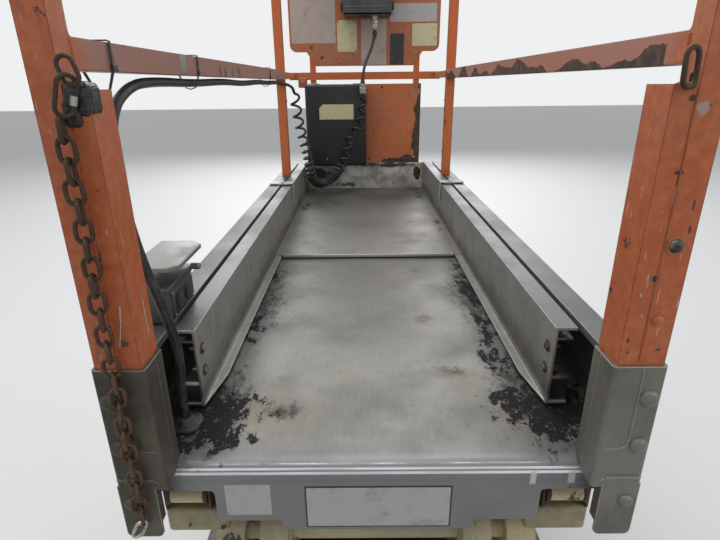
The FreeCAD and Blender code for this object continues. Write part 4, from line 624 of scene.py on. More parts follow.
for axle, along in (("rear", -0.690), ("front", 0.690)):
    for side, across in (("left", -0.330), ("right", 0.330)):
        facing = 1 if across > 0 else -1
        hub = (across, along, 0.1615)
        wheel = f"wheel_{axle}_{side}"
        mesh = bmesh.new()
        turned(mesh, TREAD, hub, (facing, 0, 0), 72)
        for angle in range(0, 360, 30):
            spoke = Vector((0, math.cos(math.radians(angle)), math.sin(math.radians(angle))))
            turned(mesh, [(0.0022, 0), (0.0022, 0.010), (0, 0.0104)],
                   Vector(hub) + Vector((0.0498 * facing, 0, 0)) + spoke * 0.122, spoke, 6)
        tyre = put(mesh, f"tread_{axle}_{side}", tyre_rubber, wheel, 40)
        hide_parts(f"tyre_{axle}_{side}")
        mesh = bmesh.new()
        turned(mesh, [
            (0.0255, -0.050), (0.045, -0.050), (0.048, -0.047), (0.048, -0.005), (0.100, -0.005), (0.1022, -0.008),
            (0.1022, -0.047), (0.105, -0.050), (0.1125, -0.050), (0.1125, 0.050), (0.106, 0.050), (0.1022, 0.046),
            (0.1022, 0.030), (0.098, 0.024), (0.070, 0.022), (0.056, 0.027), (0.050, 0.036), (0.048, 0.048),
            (0.045, 0.050), (0.0255, 0.050),
        ], hub, (facing, 0, 0), 64)
        rim = put(mesh, f"wheel_rim_{axle}_{side}", rim_paint, wheel, 40)
        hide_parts(f"rim_{axle}_{side}")
        mesh = bmesh.new()
        for angle in range(0, 360, 72):
            spoke = Vector((0, math.cos(math.radians(angle + 18)), math.sin(math.radians(angle + 18))))
            hex_bolt(mesh, Vector(hub) + Vector((0.0226 * facing, 0, 0)) + spoke * 0.080, (facing, 0, 0), 0.0085)
        put(mesh, f"wheel_bolts_{axle}_{side}", zinc, wheel)
        mesh = bmesh.new()
        end = Vector(hub) + Vector((0.0205 * facing, 0, 0))
        turned(mesh, [(0.0185, -0.004), (0.0185, 0.006), (0.016, 0.0085), (0, 0.0085)], end, (facing, 0, 0), 6)
        turned(mesh, [(0.0018, -0.019), (0.0018, 0.019)], end + Vector((0.004 * facing, 0, 0)), (0, 0.4, 1), 8)
        put(mesh, f"axle_nut_{axle}_{side}", zinc, "chassis" if axle == "rear" else f"knuckle_{side}")

# Steering. Forged knuckles turn on kingpins, and a tie rod with two eyes joins their arms. Each eye is held
# by a nut, and grease nipples stand on the kingpin heads.
dress(chassis_paint, "knuckle_left", "knuckle_right", "tie_rod")
for side, across in (("left", -0.270), ("right", 0.270)):
    mesh = bmesh.new()
    hex_bolt(mesh, (across, 0.790, 0.3429), (0, 0, -1), 0.012, 0.009)
    hex_bolt(mesh, (across, 0.690, 0.3429), (0, 0, -1), 0.016, 0.010)
    turned(mesh, [(0.003, 0), (0.003, 0.006), (0.0045, 0.007), (0.002, 0.011), (0, 0.011)],
           (across, 0.6535, 0.353), (0, -1, 0), 12)
    put(mesh, f"knuckle_nuts_{side}", zinc, f"knuckle_{side}")

# Trays. Pressed steel doors on hinge pins carry the batteries and the power unit. They are painted orange,
# with cooling slots and a paddle latch.
orange_paint = painted("orange_paint", (0.42, 0.105, 0.028), (0.47, 0.150, 0.060), (0.10, 0.060, 0.042), 0.30,
                       seed=1.0)[0]
dress(orange_paint, "tray_left", "tray_right")

black_plastic, tree, shader = new_finish("black_plastic")
grain = speckled(tree, 900.0, 2.0)
wear = place_group(tree, edge_wear, Width=0.003, Amount=0.55, Break_Up=40.0)
smears = shaded(tree, speckled(tree, 9.0, 8.0, 0.7, seed=8.0), 0.46, 0.72)
sooty = blended(tree, smears, (0.013, 0.014, 0.016), (0.045, 0.047, 0.050))
tree.links.new(blended(tree, wear.outputs["Worn"], sooty, (0.075, 0.075, 0.075)), shader.inputs["Base Color"])
tree.links.new(shaded(tree, smears, 0.0, 1.0, 0.42, 0.66), shader.inputs["Roughness"])
bump = add_node(tree, "ShaderNodeBump", Distance=0.0002, Strength=0.5)
tree.links.new(grain, bump.inputs["Height"])
tree.links.new(wear.outputs["Normal"], bump.inputs["Normal"])
tree.links.new(bump.outputs["Normal"], shader.inputs["Normal"])

for side, facing, body in (("left", -1, "battery_tray"), ("right", 1, "power_tray")):
    mesh = bmesh.new()
    face = 0.370 * facing
    for row in range(5):
        for start in (-0.30, 0.10):
            low, high = sorted((face - 0.001 * facing, face + 0.005 * facing))
            block(mesh, (low, start, 0.255 + row * 0.024), (high, start + 0.20, 0.264 + row * 0.024), 0.0025)
    put(mesh, f"tray_slots_{side}", orange_paint, body)
    mesh = bmesh.new()
    low, high = sorted((face - 0.001 * facing, face + 0.007 * facing))
    block(mesh, (low, 0.375, 0.290), (high, 0.425, 0.360), 0.003)
    block(mesh, (low, 0.385, 0.300), (high + (0.001 if facing > 0 else 0), 0.415, 0.335), 0.002)
    put(mesh, f"tray_latch_{side}", black_plastic, body)

# Batteries. Four moulded blocks stand in the left tray, with screw caps, lead posts and the straps that join
# them in a row.
dress(black_plastic, "batteries")
battery_low, battery_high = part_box("batteries")
battery_pitch = (battery_high.y - battery_low.y + 0.019) / 4
caps, posts = bmesh.new(), bmesh.new()
middle = (battery_low.x + battery_high.x) / 2
for number in range(4):
    start = battery_low.y + battery_pitch * number
    length = battery_pitch - 0.019
    block(caps, (battery_low.x + 0.004, start + 0.004, battery_high.z - 0.001),
          (battery_high.x - 0.004, start + length - 0.004, battery_high.z + 0.004), 0.002)
    for cap in range(3):
        turned(caps, [(0.012, 0), (0.012, 0.006), (0.010, 0.008), (0, 0.008)],
               (middle, start + length * (cap + 1) / 4, battery_high.z + 0.003), (0, 0, 1), 20)
    for shift in (0.022, length - 0.022):
        turned(posts, [(0.008, 0), (0.007, 0.012), (0, 0.012)],
               (battery_low.x + 0.022, start + shift, battery_high.z + 0.003), (0, 0, 1), 16)
    if number < 3:
        block(posts, (battery_low.x + 0.012, start + length - 0.034, battery_high.z + 0.012),
              (battery_low.x + 0.032, start + battery_pitch + 0.034, battery_high.z + 0.015), 0.001)
put(caps, "battery_caps", black_plastic, "battery_tray")
put(posts, "battery_straps", zinc, "battery_tray")

# Power unit. An oil tank with its filler cap, a pump block and a motor stand in the right tray, painted black.
dark_steel = painted("dark_steel", (0.045, 0.047, 0.05), (0.07, 0.07, 0.07), (0.2, 0.18, 0.16), 0.1, seed=5.0)[0]
dress(dark_steel, "power_unit", "cylinder_barrel")
unit_low, unit_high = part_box("power_unit")
mesh = bmesh.new()
turned(mesh, [(0.022, 0), (0.022, 0.010), (0.027, 0.011), (0.027, 0.022), (0.024, 0.025), (0, 0.025)],
       ((unit_low.x + unit_high.x) / 2, unit_low.y + 0.06, unit_high.z), (0, 0, 1), 18)
put(mesh, "tank_cap", black_plastic, "power_tray")
mesh = bmesh.new()
motor_radius = (unit_high.x - unit_low.x) / 2
motor_middle = ((unit_low.x + unit_high.x) / 2, unit_high.y, unit_low.z + motor_radius)
turned(mesh, [(0, -0.001), (motor_radius * 0.86, -0.001), (motor_radius * 0.86, 0.004), (motor_radius * 0.3, 0.006),
              (motor_radius * 0.3, 0.012), (0, 0.012)], motor_middle, (0, 1, 0), 32)
for angle in range(0, 360, 90):
    turn = math.radians(angle + 45)
    hex_bolt(mesh, (motor_middle[0] + math.cos(turn) * motor_radius * 0.65, motor_middle[1] + 0.004,
                    motor_middle[2] + math.sin(turn) * motor_radius * 0.65), (0, 1, 0), 0.006)
put(mesh, "motor_end", dark_steel, "power_tray")

# Pothole guards. Folded plates on a hinge rod close the gap under the chassis when the lift goes up.
dress(chassis_paint, "pothole_guard_left", "pothole_guard_right")

# Access ladder. A welded steel ladder, painted cream, with grooved sleeves on its three rungs.
cream_paint = painted("cream_paint", (0.50, 0.43, 0.24), (0.56, 0.49, 0.32), (0.12, 0.085, 0.06), 0.28, seed=2.0,
                      dusting=0.4)[0]
dress(cream_paint, "access_ladder")
mesh = bmesh.new()
for up in (0.230, 0.430, 0.630):
    sleeve = []
    for step in range(37):
        sleeve += [(0.0126, 0.008 * step), (0.0136, 0.008 * step + 0.0025), (0.0136, 0.008 * step + 0.0055)]
    turned(mesh, [(0.0118, -0.001)] + sleeve + [(0.0118, 0.297)], (-0.148, -0.946, up), (1, 0, 0), 16)
put(mesh, "rung_sleeves", zinc, "chassis")

# Scissor arms. Four pairs of outer arms and four pairs of inner arms, welded from box tube and painted cream.
# Boss rings and keeper plates hold the pins, and the paint is chipped and oily around them.
dress(cream_paint, *[f"{pair}_arms_{level}" for pair in ("outer", "inner") for level in (1, 2, 3, 4)])
ARM_LENGTH, ARM_PITCH, REAR_PIVOT, LOWEST_PIVOT = 1.6, 0.085, -0.815, 0.490
lean = math.asin(ARM_PITCH / ARM_LENGTH)
front_pivot = REAR_PIVOT + ARM_LENGTH * math.cos(lean)
middle_pivot = (REAR_PIVOT + front_pivot) / 2
oily_steel, tree, shader = new_finish("oily_steel")
shader.inputs["Metallic"].default_value = 0.9
oil = shaded(tree, speckled(tree, 30.0, 6.0), 0.42, 0.62)
tree.links.new(blended(tree, oil, (0.30, 0.29, 0.27), (0.06, 0.05, 0.042)), shader.inputs["Base Color"])
tree.links.new(shaded(tree, oil, 0.0, 1.0, 0.33, 0.6), shader.inputs["Roughness"])
for level in (1, 2, 3, 4):
    low = LOWEST_PIVOT + ARM_PITCH * (level - 1)
    outer_pins = ((REAR_PIVOT, low), (middle_pivot, low + ARM_PITCH / 2), (front_pivot, low + ARM_PITCH))
    mesh, keepers = bmesh.new(), bmesh.new()
    for along, up in outer_pins:
        for facing in (-1, 1):
            spot = (0.275 * facing, along, up)
            turned(mesh, [(0.031, -0.001), (0.031, 0.0012), (0.0295, 0.0018), (0.0205, 0.0018), (0.0205, -0.001)],
                   spot, (facing, 0, 0), 32)
            turned(keepers, [(0.0185, -0.001), (0.0185, 0.0008), (0.017, 0.0014), (0.006, 0.0014), (0.005, 0.0007),
                             (0, 0.0007)], spot, (facing, 0, 0), 24)
    put(mesh, f"outer_bosses_{level}", cream_paint, f"outer_pair_{level}")
    put(keepers, f"outer_pin_ends_{level}", oily_steel, f"outer_pair_{level}")
    mesh = bmesh.new()
    inner_pins = ((REAR_PIVOT, low + ARM_PITCH), (middle_pivot, low + ARM_PITCH / 2), (front_pivot, low))
    for along, up in inner_pins:
        for facing in (-1, 1):
            turned(mesh, [(0.033, -0.001), (0.033, 0.003), (0.0295, 0.0045), (0.0195, 0.0045), (0.0195, -0.001)],
                   (0.150 * facing, along, up), (-facing, 0, 0), 32)
    put(mesh, f"inner_bosses_{level}", cream_paint, f"inner_pair_{level}")

# Lift cylinder. A welded barrel with its gland nut and two hose ports, and a chromed rod.
chrome, tree, shader = new_finish("chromed_rod")
shader.inputs["Metallic"].default_value = 1.0
film = shaded(tree, speckled(tree, 24.0, 5.0, stretch=(1, 0.2, 1)), 0.45, 0.75)
tree.links.new(blended(tree, film, (0.66, 0.66, 0.67), (0.36, 0.34, 0.30)), shader.inputs["Base Color"])
tree.links.new(shaded(tree, film, 0.0, 1.0, 0.08, 0.3), shader.inputs["Roughness"])
dress(chrome, "cylinder_rod")
swing = math.radians(8.722022)
reach = Vector((0, math.cos(swing), math.sin(swing)))
barrel_foot = Vector((0, REAR_PIVOT + 0.24 * math.cos(lean), LOWEST_PIVOT + ARM_PITCH - 0.24 * math.sin(lean)))
mesh = bmesh.new()
turned(mesh, [(0.0448, 0.555), (0.0485, 0.556), (0.0485, 0.588), (0.046, 0.5915), (0.024, 0.5915)], barrel_foot,
       reach, 32)
weld_bead(mesh, barrel_foot + reach * 0.036 + Vector((0.02, 0, 0)), barrel_foot + reach * 0.036 - Vector((0.02, 0, 0)))
square = Vector((0, -reach.z, reach.y))
for along in (0.075, 0.535):
    turned(mesh, [(0.012, 0.042), (0.012, 0.050), (0.010, 0.052), (0, 0.052)], barrel_foot + reach * along, square, 6)
put(mesh, "barrel_fittings", dark_steel, "cylinder_barrel")

# Platform deck. One folded steel sheet, worn bare and polished at its rolled rear edge, where bright bands of painted
# highlight run along the bend. Ragged black patches of an old non-slip coat are left beside the channels and in the
# rear corners, with oily and brown stains.
def added(tree, first, second):
    """A sum that may go below 0 or above 1."""
    total = combined(tree, "ADD", first, second)
    total.node.use_clamp = False
    return total


def placed(tree):
    """The spot on the piece, and its three parts."""
    spot = add_node(tree, "ShaderNodeTexCoord").outputs["Object"]
    split = add_node(tree, "ShaderNodeSeparateXYZ")
    tree.links.new(spot, split.inputs[0])
    return spot, split.outputs["X"], split.outputs["Y"], split.outputs["Z"]


def band(tree, value, low, high, soft):
    """1 between two values, with soft ends."""
    return combined(tree, "MULTIPLY", shaded(tree, value, low - soft, low + soft),
                    shaded(tree, value, high - soft, high + soft, 1.0, 0.0))


def spots_of(tree, place, spots):
    """The strongest of several soft ellipses in X and Y, each 1 at its middle times its strength."""
    total = None
    for centre, reach, strength in spots:
        away = add_node(tree, "ShaderNodeVectorMath", operation="SUBTRACT")
        tree.links.new(place, away.inputs[0])
        away.inputs[1].default_value = (*centre, 0)
        scaled = add_node(tree, "ShaderNodeVectorMath", operation="MULTIPLY")
        tree.links.new(away.outputs[0], scaled.inputs[0])
        scaled.inputs[1].default_value = (1 / reach[0], 1 / reach[1], 0)
        distance = add_node(tree, "ShaderNodeVectorMath", operation="LENGTH")
        tree.links.new(scaled.outputs[0], distance.inputs[0])
        spot = shaded(tree, distance.outputs["Value"], 0.0, 1.0, strength, 0.0)
        total = spot if total is None else combined(tree, "MAXIMUM", total, spot)
    return total


def lighter(tone, factor):
    return tuple(min(1, channel * factor) for channel in tone)


def bare_sheet(name, tone, dark, spots=(), stains=(), haze=(), halos=(), streak=(1, 0.12, 1), roughness=0.42,
               metallic=0.7, seed=0.0, foot=None, edge_tone=None, top=None):
    """Worn bare sheet: mottled, brushed along one axis, with black remains, dark haze and brown stains."""
    finish, tree, shader = new_finish(name)
    shader.inputs["Metallic"].default_value = metallic
    place, across, along, up = placed(tree)
    brushed = speckled(tree, 170.0, 3.0, 0.6, streak, seed)
    mottled = speckled(tree, 5.5, 8.0, 0.66, (1, 1, 1), seed + 2)
    colour = blended(tree, shaded(tree, mottled, 0.36, 0.68), tone, dark)
    lines = combined(tree, "MULTIPLY", shaded(tree, brushed, 0.42, 0.66), 0.16)
    colour = blended(tree, lines, colour, lighter(tone, 1.3))
    fine = shaded(tree, speckled(tree, 85.0, 6.0, 0.7, seed=seed + 5), 0.60, 0.70)
    colour = blended(tree, combined(tree, "MULTIPLY", fine, 0.45), colour, lighter(dark, 0.35))
    if halos:
        beige = combined(tree, "MULTIPLY", spots_of(tree, place, halos),
                         shaded(tree, speckled(tree, 16.0, 7.0, 0.66, seed=seed + 4), 0.34, 0.58))
        colour = blended(tree, beige, colour, (0.205, 0.180, 0.128))
    if stains:
        brown = combined(tree, "MULTIPLY", spots_of(tree, place, stains),
                         shaded(tree, speckled(tree, 20.0, 9.0, 0.72, seed=seed + 1), 0.36, 0.56))
        colour = blended(tree, brown, colour, (0.055, 0.040, 0.026))
    if haze:
        smoky = added(tree, speckled(tree, 75.0, 8.0, 0.72, (1, 0.5, 1), seed + 7),
                      combined(tree, "MULTIPLY", spots_of(tree, place, haze), 0.30))
        colour = blended(tree, shaded(tree, smoky, 0.62, 0.82, 0.0, 0.85), colour, (0.034, 0.033, 0.031))
    if foot is not None:
        height = added(tree, up, combined(tree, "MULTIPLY", speckled(tree, 22.0, 8.0, 0.7, (1, 0.5, 1)), -0.075))
        dirt = combined(tree, "MULTIPLY", shaded(tree, height, foot[0] - 0.045, foot[1] - 0.045, 1.0, 0.0), 0.8)
        dirt = combined(tree, "MULTIPLY", dirt, shaded(tree, up, 0.916, 0.926))
        colour = blended(tree, dirt, colour, (0.115, 0.096, 0.066))
    if top is not None:
        drip = shaded(tree, speckled(tree, 75.0, 3.0, 0.5, (1, 1, 0.10), seed + 9), 0.665, 0.70)
        drip = combined(tree, "MULTIPLY", drip, shaded(tree, up, top[0] - 0.10, top[0] - 0.02, 0.0, 0.8))
        colour = blended(tree, drip, colour, (0.52, 0.52, 0.50))
        # Painted shade: a top flange at the given height is painted darker than the faces below it.
        colour = blended(tree, combined(tree, "MULTIPLY", shaded(tree, up, top[0] - 0.0018, top[0] - 0.0008), 0.9),
                         colour, top[1])
    wear = place_group(tree, edge_wear, Width=0.0028, Amount=0.75, Break_Up=30.0)
    colour = blended(tree, combined(tree, "MULTIPLY", wear.outputs["Worn"], 0.7), colour, edge_tone or lighter(tone, 1.9))
    rough = shaded(tree, mottled, 0.35, 0.7, roughness, roughness + 0.16)
    height = brushed
    if spots:
        cover = added(tree, speckled(tree, 52.0, 10.0, 0.74, (1, 0.62, 1), seed + 3),
                      combined(tree, "MULTIPLY", spots_of(tree, place, spots), 0.33))
        coat = combined(tree, "MULTIPLY", shaded(tree, cover, 0.70, 0.71),
                        shaded(tree, speckled(tree, 150.0, 8.0, 0.7, (1, 0.6, 1), seed + 8), 0.60, 0.62, 1.0, 0.0))
        grit = shaded(tree, speckled(tree, 240.0, 4.0), 0.45, 0.7)
        colour = blended(tree, coat, colour, blended(tree, grit, (0.008, 0.008, 0.009), (0.036, 0.034, 0.031)))
        rough = combined(tree, "MAXIMUM", rough, combined(tree, "MULTIPLY", coat, 0.72))
        height = added(tree, combined(tree, "MULTIPLY", brushed, 0.25), coat)
    bump = add_node(tree, "ShaderNodeBump", Distance=0.0006, Strength=0.55)
    tree.links.new(height, bump.inputs["Height"])
    tree.links.new(wear.outputs["Normal"], bump.inputs["Normal"])
    tree.links.new(bump.outputs["Normal"], shader.inputs["Normal"])
    tree.links.new(colour, shader.inputs["Base Color"])
    tree.links.new(rough, shader.inputs["Roughness"])
    return finish, tree, shader, colour, rough


deck_metal, tree, shader, colour, rough = bare_sheet(
    "deck_metal", (0.184, 0.183, 0.174), (0.148, 0.146, 0.137),
    spots=(
        ((-0.300, -0.820), (0.17, 0.19), 1.0), ((-0.245, -0.800), (0.10, 0.12), 0.95),
        ((-0.230, -0.865), (0.09, 0.055), 0.9), ((-0.200, -0.770), (0.05, 0.06), 0.6),
        ((-0.262, -0.480), (0.06, 0.30), 0.68), ((-0.262, -0.180), (0.05, 0.20), 0.60),
        ((0.300, -0.800), (0.15, 0.22), 1.0), ((0.235, -0.780), (0.085, 0.13), 0.95),
        ((0.235, -0.640), (0.060, 0.16), 0.80), ((0.250, -0.520), (0.055, 0.20), 0.78),
        ((0.255, -0.300), (0.065, 0.24), 0.86), ((0.262, -0.130), (0.06, 0.14), 0.70),
        ((0.150, -0.690), (0.03, 0.02), 0.55), ((-0.160, -0.812), (0.035, 0.02), 0.62),
    ),
    haze=(
        ((-0.255, -0.35), (0.09, 0.42), 0.95), ((-0.290, -0.75), (0.16, 0.26), 1.0),
        ((0.255, -0.35), (0.10, 0.42), 0.95), ((0.290, -0.75), (0.16, 0.28), 1.0),
        ((0.140, -0.690), (0.06, 0.04), 0.7), ((-0.150, -0.800), (0.08, 0.05), 0.75),
    ),
    halos=(((-0.155, -0.810), (0.12, 0.10), 1.0), ((0.175, -0.720), (0.07, 0.08), 0.9), ((0.235, -0.800), (0.06, 0.09), 0.9),
           ((-0.040, -0.700), (0.06, 0.05), 0.5)),
    stains=(((-0.150, -0.806), (0.050, 0.022), 1.0), ((0.140, -0.690), (0.05, 0.03), 0.7),
            ((0.120, -0.470), (0.04, 0.04), 0.9), ((-0.050, -0.560), (0.22, 0.05), 0.2),
            ((0.130, -0.160), (0.02, 0.02), 0.7)),
    edge_tone=(0.62, 0.62, 0.61), metallic=0.62,
)
spot, across, along, up = placed(tree)
# The rolled rear edge: near-white bands round the bend are painted highlights, and a paler bluish tone over the bend is
# painted sheen. Where they lie, the roughness drops, because the edge really is polished.
around = add_node(tree, "ShaderNodeMath", operation="ARCTAN2")
tree.links.new(added(tree, up, -0.885), around.inputs[0])
tree.links.new(combined(tree, "SUBTRACT", -0.914, along), around.inputs[1])
on_bend = combined(tree, "MULTIPLY", shaded(tree, along, -0.913, -0.900, 1.0, 0.0), shaded(tree, up, 0.868, 0.880))
scratched = speckled(tree, 120.0, 6.0, 0.65, (0.05, 1, 1), 4.0)
broken = shaded(tree, speckled(tree, 14.0, 7.0, 0.7, (0.3, 1, 1), 8.0), 0.46, 0.62)
wide_highlight_line = combined(tree, "MULTIPLY", band(tree, around.outputs[0], 0.04, 0.32, 0.06),
                     shaded(tree, scratched, 0.30, 0.60, 0.65, 1.0))
next_highlight_line = combined(tree, "MULTIPLY", band(tree, around.outputs[0], 0.48, 0.70, 0.06),
                     shaded(tree, scratched, 0.30, 0.62, 0.45, 0.9))
thin_highlight_line = combined(tree, "MULTIPLY", band(tree, around.outputs[0], 1.00, 1.12, 0.06), broken)
polish_and_highlight = combined(tree, "MAXIMUM", wide_highlight_line, combined(tree, "MULTIPLY", next_highlight_line, 0.8))
polish_and_highlight = combined(tree, "MAXIMUM", polish_and_highlight, combined(tree, "MULTIPLY", thin_highlight_line, 0.5))
polish_and_highlight = combined(tree, "MULTIPLY", polish_and_highlight, on_bend)
# Painted light: the apron below the bend is painted lighter than the deck top.
colour = blended(tree, shaded(tree, up, 0.868, 0.876, 0.5, 0.0), colour, (0.255, 0.257, 0.255))
colour = blended(tree, combined(tree, "MULTIPLY", on_bend, 0.6), colour, (0.235, 0.240, 0.250))
colour = blended(tree, polish_and_highlight, colour, (0.95, 0.96, 0.98))
spill = None
for middle, low, half in ((0.2215, 0.866, 0.0042), (0.276, 0.868, 0.0048)):
    drop = combined(tree, "MULTIPLY", band(tree, across, middle - half, middle + half, 0.0012), band(tree, up, low, 0.889, 0.002))
    spill = drop if spill is None else combined(tree, "MAXIMUM", spill, drop)
spill = combined(tree, "MULTIPLY", spill, shaded(tree, along, -0.925, -0.921, 1.0, 0.0))
colour = blended(tree, combined(tree, "MULTIPLY", spill, 0.8), colour, (0.60, 0.60, 0.58))
tree.links.new(colour, shader.inputs["Base Color"])
tree.links.new(combined(tree, "SUBTRACT", rough, combined(tree, "MULTIPLY", polish_and_highlight, 0.22)), shader.inputs["Roughness"])
dress(deck_metal, "main_deck")


def plain_label(name, fresh, stained, scale, seed):
    """A printed plate whose face has been left blank: flat colour, with dirt and faint rubbing."""
    finish, tree, shader = new_finish(name)
    aged = combined(tree, "MULTIPLY", shaded(tree, speckled(tree, scale, 8.0, 0.7, seed=seed), 0.50, 0.72), 0.75)
    tree.links.new(blended(tree, aged, fresh, stained), shader.inputs["Base Color"])
    tree.links.new(shaded(tree, aged, 0.0, 1.0, 0.36, 0.62), shader.inputs["Roughness"])
    return finish


label_white = plain_label("label_white", (0.40, 0.395, 0.380), (0.27, 0.245, 0.205), 38.0, 0.0)
label_warm = plain_label("label_warm", (0.43, 0.365, 0.315), (0.29, 0.215, 0.165), 30.0, 5.0)
label_cream = plain_label("label_cream", (0.56, 0.52, 0.32), (0.28, 0.250, 0.14), 45.0, 2.0)
label_black = plain_label("label_black", (0.018, 0.018, 0.019), (0.10, 0.10, 0.09), 60.0, 4.0)


def facing_plate(mesh, left, right, low, high, rear, front, corner=0.003):
    """A thin plate that faces the rear, with rounded corners."""
    outline = []
    for across, up, start in ((right - corner, low + corner, -90), (right - corner, high - corner, 0),
                              (left + corner, high - corner, 90), (left + corner, low + corner, 180)):
        for step in range(4):
            turn = math.radians(start + step * 30)
            outline.append((across + corner * math.cos(turn), up + corner * math.sin(turn)))
    near = [mesh.verts.new((across, rear, up)) for across, up in outline]
    far = [mesh.verts.new((across, front, up)) for across, up in outline]
    mesh.faces.new(near)
    mesh.faces.new(list(reversed(far)))
    for step in range(len(outline)):
        after = (step + 1) % len(outline)
        mesh.faces.new((near[step], far[step], far[after], near[after]))


mesh = bmesh.new()
facing_plate(mesh, -0.220, -0.154, 0.812, 0.868, -0.9297, -0.9289)
put(mesh, "apron_label", label_white, "platform")
mesh = bmesh.new()
facing_plate(mesh, -0.105, 0.108, 0.787, 0.864, -0.9294, -0.9289, 0.002)
put(mesh, "apron_plate_rim", label_black, "platform")
mesh = bmesh.new()
facing_plate(mesh, -0.1025, 0.1055, 0.7895, 0.8615, -0.9299, -0.9292, 0.0015)
put(mesh, "apron_plate", label_white, "platform")

# Underframe. Side members, cross members and roller tracks welded under the deck, painted cream. The ears of
# its rear hinge stand out beside the apron.
dress(cream_paint, "platform_underframe")
# Dark rusty brown: the collars' rust, and painted shade on the plate behind the hinge blocks.
rust_and_shade_brown = bare_sheet("rust_and_shade_brown", (0.085, 0.055, 0.030), (0.030, 0.021, 0.013), streak=(1, 1, 1), seed=35.0,
                         metallic=0.2, roughness=0.6, edge_tone=(0.20, 0.16, 0.09))[0]
# A darker cream, chipped to black, for the hinge blocks.
darker_cream = painted("darker_cream", (0.30, 0.265, 0.150), (0.22, 0.190, 0.100), (0.030, 0.022, 0.014), 0.42,
                     chip_size=16.0, seed=33.0, dusting=0.15)[0]
mesh, rollers, rims, plates = bmesh.new(), bmesh.new(), bmesh.new(), bmesh.new()
for facing in (-1, 1):
    turned(rollers, [(0, 0), (0.0165, 0), (0.0165, 0.050), (0, 0.050)], (0.266 * facing, -0.884, 0.812), (facing, 0, 0), 28)
    low, high = sorted((0.232 * facing, 0.328 * facing))
    block(mesh, (low, -0.897, 0.742), (high, -0.861, 0.788), 0.006, 3)
    for across in (0.2600, 0.3165):
        turned(rims, [(0, 0), (0.0185, 0), (0.0200, 0.001), (0.0200, 0.0045), (0.0185, 0.0055), (0, 0.0055)],
               (across * facing, -0.882, 0.811), (facing, 0, 0), 28)
    # Painted shade: the wide dark plate across each hinge, behind the blocks, stands in for the shade under the deck.
    # The narrow plates beside each roller share the collars' dark brown finish.
    block(plates, (low, -0.8600, 0.740), (high, -0.8565, 0.896), 0.001)
    low, high = sorted((0.2555 * facing, 0.2600 * facing))
    block(plates, (low, -0.896, 0.786), (high, -0.858, 0.896), 0.0015)
    low, high = sorted((0.3225 * facing, 0.3275 * facing))
    block(plates, (low, -0.896, 0.786), (high, -0.858, 0.896), 0.0015)
put(mesh, "hinge_blocks", darker_cream, "platform")
put(rollers, "hinge_rollers", cream_paint, "platform")
put(rims, "hinge_collars", rust_and_shade_brown, "platform")
put(plates, "hinge_side_plates_and_shade_plate", rust_and_shade_brown, "platform")

# Side channels. Folded aluminium channels bolted to the deck's sides, dull and streaked, with brown dirt low
# down. A pale hold-down plate bridges the slit on each side, with a leg over the inner channel.
# Its top flange is painted darker than its faces: painted shade.
channel_metal = bare_sheet("channel_metal", (0.235, 0.235, 0.225), (0.155, 0.155, 0.145), streak=(1, 1, 0.14), seed=3.0,
                           foot=(0.915, 0.965), top=(1.047, (0.098, 0.100, 0.102)))[0]
dress(channel_metal, "outer_channel_left", "outer_channel_right")
mesh = bmesh.new()
for facing in (-1, 1):
    for along in (0.373, 0.400):
        hex_bolt(mesh, (0.318 * facing, along, 1.0535), (0, 0, 1), 0.0065, 0.004)
    for along in (-0.55, -0.15, 0.25, 0.65):
        dome_bolt(mesh, (0.368 * facing, along, 0.960), (facing, 0, 0), 0.0095, 0.004)
put(mesh, "channel_bolts", zinc, "platform")
pale_metal = bare_sheet("pale_metal", (0.50, 0.50, 0.46), (0.33, 0.32, 0.28), streak=(1, 1, 1), seed=31.0,
                        metallic=0.35, roughness=0.5)[0]
mesh = bmesh.new()
for facing in (-1, 1):
    low, high = sorted((0.2770 * facing, 0.3660 * facing))
    block(mesh, (low, 0.362, 1.0505), (high, 0.408, 1.0540), 0.0012)
    low, high = sorted((0.2765 * facing, 0.2797 * facing))
    block(mesh, (low, 0.366, 0.986), (high, 0.380, 1.0535), 0.0012)
put(mesh, "hold_down_plates", pale_metal, "platform")

